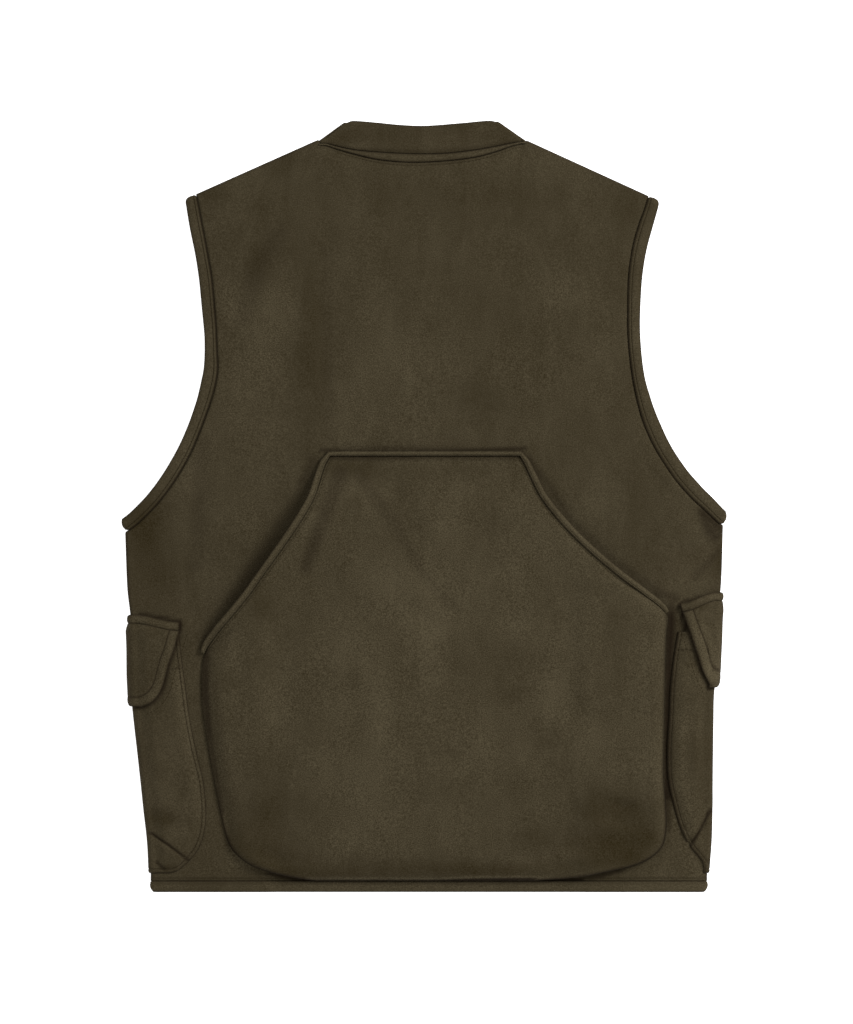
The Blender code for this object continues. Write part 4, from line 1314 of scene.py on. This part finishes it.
def inset(line, away):
    """A line moved sideways, to the left of its way for a positive distance."""
    moved = []
    for k, (x, y) in enumerate(line):
        (ax, ay), (bx, by) = beside(line, k)
        run = max(math.hypot(bx - ax, by - ay), ROUNDING)
        moved.append((x - (by - ay) / run * away, y + (bx - ax) / run * away))
    return moved


def back_runs():
    """Rows of stitches on the back: beside both armholes, the neck and the hem."""
    runs = []
    for side in SIGN:
        run = []
        for foot, across, up, width, thickness in armhole_stations(side):
            if up.z < 0.9:  # the binding turns over the shoulder fold here
                break
            run.append((foot + across * (STITCHED * width) + up * (0.38 * thickness), up))
        runs.append(run)
    low = PANEL_FOOT + BACK_STITCH
    start, end = side_line("left", PANEL_FOOT), side_line("right", PANEL_FOOT)
    sewn = seam_shape(BACK_STITCH, BACK_STITCH)
    for path in (
        [(x, top_edge(x, 1) - BACK_STITCH) for x in between(-86, 84, 2.5)],
        [(x, low) for x in between(3 - start, end - 3, 3.0)],
    ):
        places = [body_point(x, y, 1, sewn + relief("back", x, y)[0]) for x, y in path]
        runs.append([(place + UP * ON_TOP, UP) for place in places])
    return runs


def pouch_runs():
    """Stitches inside the bound edges of the two hand openings."""
    edge = pouch_side("left")[::-1] + pouch_bottom()[1:-1] + pouch_side("right")
    sewn = seam_shape(POUCH_STITCH) - GROOVE
    runs = {"left": [], "right": []}
    for x, height in inset(edge, POUCH_STITCH):
        if POUCH_OPEN[side_of(x)] + 2 <= height < POUCH_TOP - 2:
            raised = sewn + pouch_relief(x, height) * smooth(POUCH_STITCH / 16)
            runs[side_of(x)].append((pouch_point(x, height, raised) + UP * ON_TOP, UP))
    return list(runs.values())


def pocket_runs(side):
    """Stitches inside the pocket's sewn edge, and across its mouth."""
    mouth = POCKET_MOUTH[side]
    edge = [place for place in inset(pocket_outline(side), POCKET_STITCH) if place[0] > 2]
    back = pocket_back(side, mouth) - POCKET_STITCH
    across = [(a, mouth) for a in between(2.0, back, 2.0)]
    runs = []
    for path, sewn in ((edge, seam_shape(POCKET_STITCH, POCKET_STITCH)), (across, -GROOVE)):
        run = []
        for a, height in path:
            out = LAYER + pocket_bulge(side, a, height) + sewn
            out += smooth(a / 4) * folds(POCKET_FOLDS[side], a, height)
            run.append((wrap_point(side, a, height, out + ON_TOP), UP))
        runs.append(run)
    return runs


def flap_runs(side):
    """Stitches inside the flap's free edge."""
    run = []
    for along, drop in inset(flap_outline(side), -FLAP_BORDER):
        if along >= 2 and drop >= FLAP_ROLL + 1:
            height, out, _ = flap_place(side, along, drop)
            out += FLAP_EASE + flap_border(FLAP_BORDER) + ON_TOP
            run.append((wrap_point(side, along, height, out), UP))
    return [run]


SUEDE = "Bonded faux suede, brushed nap"
SUEDE_EDGE = "Suede strip, folded and sewn"
THREAD_FINISH = "Spun polyester thread"
PAPER = "Pale studio paper, matt"
PAPER_COLOUR = "fafafa"
SEAM_AND_SHADE_COLOUR = "150c04"  # nap pressed flat in a seam, and painted shade in hollows, under edges and beside raised pieces
# Hex codes of the suede: where the nap lies away from the light, between, and towards it.
NAP_DARK, NAP_MIDDLE, NAP_LIGHT = "251d09", "3a3324", "504836"


def picked(code):
    """An sRGB hex code as the colour picker holds it, gamma and all."""
    return tuple(int(code[k : k + 2], 16) / 255 for k in (0, 2, 4))


def hex_of(colour):
    """The sRGB hex code of a colour picked in the panel."""
    return "".join(f"{round(max(min(part, 1.0), 0.0) * 255):02x}" for part in colour[:3])


def linear(code):
    """A colour's linear values from its sRGB hex code."""
    parts = [p / 12.92 if p <= 0.04045 else ((p + 0.055) / 1.055) ** 2.4 for p in picked(code)]
    return parts + [1.0]


def node(tree, kind, settings=None, **inputs):
    """Adds a shader node: its settings, and each input as a value or as another's socket.
    An input is given by its name, or by its number after the letter i."""
    made = tree.nodes.new("ShaderNode" + kind)
    for name, value in (settings or {}).items():
        setattr(made, name, value)
    for name, value in inputs.items():
        numbered = name[0] == "i" and name[1:].isdigit()
        socket = made.inputs[int(name[1:]) if numbered else name.replace("_", " ")]
        if isinstance(value, bpy.types.NodeSocket):
            tree.links.new(value, socket)
        else:
            socket.default_value = value
    return made


def calc(tree, operation, *values):
    """One step of arithmetic between sockets or numbers."""
    inputs = {f"i{k}": value for k, value in enumerate(values)}
    return node(tree, "Math", {"operation": operation}, **inputs).outputs[0]


def finish_of(name, roughness, sheen, tint):
    """A new material and its shader, with what is the same all over it on the shader."""
    made = bpy.data.materials.new(name)
    made.use_nodes = True
    shader = made.node_tree.nodes["Principled BSDF"]
    for setting, value in (
        ("Roughness", roughness),
        ("IOR", 1.45),
        ("Specular IOR Level", 0.1),
        ("Sheen Weight", sheen),
        ("Sheen Roughness", 0.45),
        ("Sheen Tint", linear(tint)),
    ):
        shader.inputs[setting].default_value = value
    return made, made.node_tree, shader


def suede(name, dark, middle, light, contrast=1.0):
    """Bonded faux suede: a dense nap of microfibres, raised by brushing, which looks dull and
    cloudy, lighter where the nap lies one way and darker where it lies the other."""
    made, tree, shader = finish_of(name, 0.93, 0.05, light)
    place = node(tree, "TexCoord").outputs["Object"]
    squeezed = {"operation": "MULTIPLY"}
    brushed = node(tree, "VectorMath", squeezed, i0=place, i1=(1.0, 0.45, 1.0)).outputs["Vector"]

    def pattern(size_mm, detail, rough=0.55, bend=0.0, way=place):
        return node(
            tree, "TexNoise", {"noise_dimensions": "3D"}, Vector=way,
            Scale=1000.0 / size_mm, Detail=detail, Roughness=rough, Distortion=bend,
        ).outputs["Fac"]

    cloud = pattern(95.0, 3.0, 0.5, 0.6)  # where a hand has brushed the nap one way
    smear = pattern(20.0, 4.0, 0.6, 0.8, brushed)  # strokes up and down
    mottle = pattern(4.5, 3.0, 0.6)
    grain = pattern(1.15, 2.0, 0.7)  # tufts of nap, drawn as coarse as the render shows
    # The seam attribute carries dark seam lines and painted shade, the nap attribute the nap's tone
    # with painted light and shade.
    nap, seam = (
        node(tree, "Attribute", {"attribute_name": kind}).outputs["Fac"] for kind in ("nap", "seam")
    )

    tone = calc(tree, "MULTIPLY_ADD", nap, 0.19 * contrast, 0.5)
    for part, weight in ((cloud, 0.34), (smear, 0.32), (mottle, 0.12)):
        off = calc(tree, "SUBTRACT", part, 0.5)
        tone = calc(tree, "MULTIPLY_ADD", off, weight * contrast, tone)
    # The tufts show most where the nap is brushed up and light, least where it is pressed.
    raised = calc(tree, "MAXIMUM", calc(tree, "MULTIPLY_ADD", nap, 1.1, 1.2), 1.05)
    raised = calc(tree, "MINIMUM", raised, 1.7)
    tuft = calc(tree, "MULTIPLY", calc(tree, "SUBTRACT", grain, 0.5), raised)
    tone = calc(tree, "MULTIPLY_ADD", tuft, contrast, tone)
    ramp = node(tree, "ValToRGB", Fac=tone)
    band = ramp.color_ramp
    band.elements[0].position, band.elements[0].color = 0.08, linear(dark)
    band.elements[1].position, band.elements[1].color = 0.92, linear(light)
    band.elements.new(0.5).color = linear(middle)
    # The seam attribute draws the colour towards the seam and shade colour: dark seam lines, and
    # painted shade.
    pressed = calc(tree, "MULTIPLY", seam, 0.86)
    seam_and_shade_mix = node(
        tree, "Mix", {"data_type": "RGBA"}, i0=pressed, i6=ramp.outputs["Color"], i7=linear(SEAM_AND_SHADE_COLOUR)
    )
    tree.links.new(seam_and_shade_mix.outputs[2], shader.inputs["Base Color"])

    height = calc(tree, "MULTIPLY_ADD", mottle, 0.5, grain)
    rough = node(tree, "Bump", Strength=0.35, Distance=0.0006, Height=height)
    tree.links.new(rough.outputs["Normal"], shader.inputs["Normal"])
    return made


def speckled(made, tree, shader, colour, scale, detail, low, high):
    """Gives a finish one colour, lighter and darker in soft spots."""
    place = node(tree, "TexCoord").outputs["Object"]
    spots = node(tree, "TexNoise", Vector=place, Scale=scale, Detail=detail).outputs["Fac"]
    ramp = node(tree, "ValToRGB", Fac=spots)
    for element, share in zip(ramp.color_ramp.elements, (low, high)):
        element.color = [share * value for value in linear(colour)[:3]] + [1.0]
    tree.links.new(ramp.outputs["Color"], shader.inputs["Base Color"])
    return made


def thread(name, colour):
    """Spun polyester thread, dyed to match: duller than the nap, and mottled by its twist."""
    return speckled(*finish_of(name, 0.7, 0.1, colour), colour, 1500.0, 1.0, 0.75, 1.2)


def paper(name, colour):
    """Matt studio paper: very slightly uneven, and lit from behind so that it reads as white."""
    made, tree, shader = finish_of(name, 0.95, 0.0, colour)
    shader.inputs["Emission Color"].default_value = linear(colour)
    shader.inputs["Emission Strength"].default_value = 0.9
    return speckled(made, tree, shader, colour, 1.5, 2.0, 0.985, 1.0)


def finish(name):
    """A finish of the vest by its name, made when it is first asked for."""
    if name in bpy.data.materials:
        return bpy.data.materials[name]
    picks = bpy.context.scene.vest
    dark, middle, light = hex_of(picks.dark), hex_of(picks.middle), hex_of(picks.light)
    if name == SUEDE:
        return suede(name, dark, middle, light)
    if name == SUEDE_EDGE:
        # The folded strip is stretched as it is sewn, which evens out its nap.
        return suede(name, dark, middle, light, 0.85)
    return thread(name, dark)


def nap_colour(name, description, code):
    """A setting for one of the suede's colours."""
    return bpy.props.FloatVectorProperty(
        name=name, description=description, default=picked(code),
        subtype="COLOR_GAMMA", size=3, min=0.0, max=1.0,
    )


class VestSettings(bpy.types.PropertyGroup):
    """What a user may change before making the vest."""

    dark: nap_colour("Dark nap", "Where the nap lies away from the light", NAP_DARK)
    middle: nap_colour("Suede", "The suede's middle colour", NAP_MIDDLE)
    light: nap_colour("Light nap", "Where the nap lies towards the light", NAP_LIGHT)
    stitching: bpy.props.BoolProperty(
        name="Stitching", description="Sew rows of stitches beside the seams", default=True
    )


class VestStageSettings(bpy.types.PropertyGroup):
    """Camera and light."""

    camera_height: bpy.props.FloatProperty(
        name="Camera height", description="How far above the vest the camera stands",
        default=6.0, min=1.0, unit="LENGTH", subtype="DISTANCE",
    )
    light_power: bpy.props.FloatProperty(
        name="Light", description="Power of the soft light from the upper right, in watts",
        default=80.0, min=0.0,
    )
    fill: bpy.props.FloatProperty(
        name="Fill", description="Strength of the even light from all round", default=0.72, min=0.0
    )


class VEST_OT_body(bpy.types.Operator):
    """Make the back and the two fronts, which turn round the side and shoulder folds"""

    bl_idname = "vest.body"
    bl_label = "Back and fronts"

    def execute(self, context):
        panel("cloth_back", "back", body_rows("back"))
        for side in SIGN:
            panel("cloth_front_" + side, "front_" + side, body_rows(side))
        return {"FINISHED"}


class VEST_OT_armholes(bpy.types.Operator):
    """Bind both armholes with a folded strip"""

    bl_idname = "vest.armholes"
    bl_label = "Armhole bindings"

    def execute(self, context):
        for seed, side in enumerate(SIGN, 1):
            stations = armhole_stations(side)
            binding = "armhole_binding_" + side
            strip("edge_armhole_" + side, binding, stations, (0.85, 0.5, 0.5), seed, closed=True)
        return {"FINISHED"}


class VEST_OT_hem(bpy.types.Operator):
    """Bind the hem with a folded strip"""

    bl_idname = "vest.hem"
    bl_label = "Hem band"

    def execute(self, context):
        strip("edge_hem", "hem_band", hem_stations(), (0.5, 0.0, 0.6), 3.0, light=0.4)
        return {"FINISHED"}


class VEST_OT_neck(bpy.types.Operator):
    """Make the stand collar, folded flat, and the padded band under its seam"""

    bl_idname = "vest.neck"
    bl_label = "Collar and neck band"

    def execute(self, context):
        panel("cloth_collar", "collar", collar_rows())
        ridge = {"section": RIDGE, "pucker": 0.3, "fade": 7}
        strip("edge_neck", "neck_band", neck_stations(), (1.0, 0.0, 0.6), 4.0, **ridge)
        return {"FINISHED"}


class VEST_OT_pouch(bpy.types.Operator):
    """Sew the large pouch on the back, and bind its two hand openings and its top"""

    bl_idname = "vest.pouch"
    bl_label = "Back pouch"

    def execute(self, context):
        panel("cloth_pouch", "pouch", pouch_rows())
        stations = pouch_binding_stations()
        strip("edge_pouch", "pouch_binding", stations, (0.36, 0.0, 0.8), 5.0, light=0.6, fade=3)
        return {"FINISHED"}


class VEST_OT_pockets(bpy.types.Operator):
    """Wrap a pocket round each side fold"""

    bl_idname = "vest.pockets"
    bl_label = "Side pockets"

    def execute(self, context):
        for side in SIGN:
            panel("cloth_pocket_" + side, "pocket_" + side, pocket_rows(side))
        return {"FINISHED"}


class VEST_OT_flaps(bpy.types.Operator):
    """Hang a flap over each side pocket's mouth"""

    bl_idname = "vest.flaps"
    bl_label = "Pocket flaps"

    def execute(self, context):
        for side in SIGN:
            panel("cloth_flap_" + side, "flap_" + side, flap_rows(side))
        return {"FINISHED"}


class VEST_OT_stitching(bpy.types.Operator):
    """Sew rows of stitches beside the seams"""

    bl_idname = "vest.stitching"
    bl_label = "Stitching"

    def execute(self, context):
        if context.scene.vest.stitching:
            stitches("thread_back", back_runs())
            stitches("thread_pouch", pouch_runs())
            for side in SIGN:
                stitches("thread_pocket_" + side, pocket_runs(side))
                stitches("thread_flap_" + side, flap_runs(side))
        return {"FINISHED"}


VIEW_HEIGHT = 0.9728  # metres of the floor that the picture covers, up the vest
VIEW_CENTRE = (0.0024, -0.0052)  # where the camera stands, in metres from the vest's middle
SENSOR = 36.0  # millimetres
FLOOR_SIZE = 4.0  # metres from its middle to an edge
FLOOR_LEVEL = -0.0004  # just under the vest, so that the two never meet
LIGHT_PLACE = Vector((2.2, 1.3, 1.9))  # in metres from the vest's middle, which it faces
LIGHT_SIZE = 1.3  # metres


class VEST_OT_stage(bpy.types.Operator):
    """Lay the pale floor, hang the light and set up the camera straight above"""

    bl_idname = "vest.stage"
    bl_label = "Stage"

    def execute(self, context):
        scene = context.scene
        picks = scene.vest_stage
        mesh = bmesh.new()
        bmesh.ops.create_grid(mesh, x_segments=2, y_segments=2, size=FLOOR_SIZE)
        bmesh.ops.translate(mesh, verts=mesh.verts[:], vec=(0, 0, FLOOR_LEVEL))
        floor = show_mesh("floor", mesh, paper(PAPER, PAPER_COLOUR))

        lens = bpy.data.cameras.new("camera")
        lens.sensor_width = SENSOR
        lens.lens = SENSOR * picks.camera_height / VIEW_HEIGHT
        lens.clip_end = 100.0
        scene.camera = show("camera", lens)
        scene.camera.location = (*VIEW_CENTRE, picks.camera_height)

        lamp = bpy.data.lights.new("light_key", "AREA")
        lamp.shape = "SQUARE"
        lamp.size = LIGHT_SIZE
        lamp.energy = picks.light_power
        key = show("light_key", lamp)
        key.location = LIGHT_PLACE
        key.rotation_euler = (-LIGHT_PLACE).to_track_quat("-Z", "Y").to_euler()

        world = bpy.data.worlds.new("studio")
        world.use_nodes = True
        background = world.node_tree.nodes["Background"]
        background.inputs["Color"].default_value = (1, 1, 1, 1)
        background.inputs["Strength"].default_value = picks.fill
        scene.world = world
        scene.view_settings.view_transform = "Standard"
        return {"FINISHED"}


OPERATORS = (
    VEST_OT_body, VEST_OT_armholes, VEST_OT_hem, VEST_OT_neck, VEST_OT_pouch,
    VEST_OT_pockets, VEST_OT_flaps, VEST_OT_stitching, VEST_OT_stage,
)


class VEST_PT_panel(bpy.types.Panel):
    """The vest's settings, and a button for each of its pieces"""

    bl_idname = "VEST_PT_panel"
    bl_label = "Suede vest"
    bl_space_type = "VIEW_3D"
    bl_region_type = "UI"
    bl_category = "Vest"

    def draw(self, context):
        for picks, names in (
            (context.scene.vest, ("dark", "middle", "light", "stitching")),
            (context.scene.vest_stage, ("camera_height", "light_power", "fill")),
        ):
            for name in names:
                self.layout.prop(picks, name)
        for operator in OPERATORS:
            self.layout.operator(operator.bl_idname)


CLASSES = (VestSettings, VestStageSettings, *OPERATORS, VEST_PT_panel)


def register():
    for made in CLASSES:
        bpy.utils.register_class(made)
    bpy.types.Scene.vest = bpy.props.PointerProperty(type=VestSettings)
    bpy.types.Scene.vest_stage = bpy.props.PointerProperty(type=VestStageSettings)


def unregister():
    del bpy.types.Scene.vest_stage
    del bpy.types.Scene.vest
    for made in reversed(CLASSES):
        bpy.utils.unregister_class(made)


def main():
    register()
    bpy.ops.vest.body()
    bpy.ops.vest.armholes()
    bpy.ops.vest.hem()
    bpy.ops.vest.neck()
    bpy.ops.vest.pouch()
    bpy.ops.vest.pockets()
    bpy.ops.vest.flaps()
    bpy.ops.vest.stitching()
    bpy.ops.vest.stage()


if __name__ == "__main__":
    main()
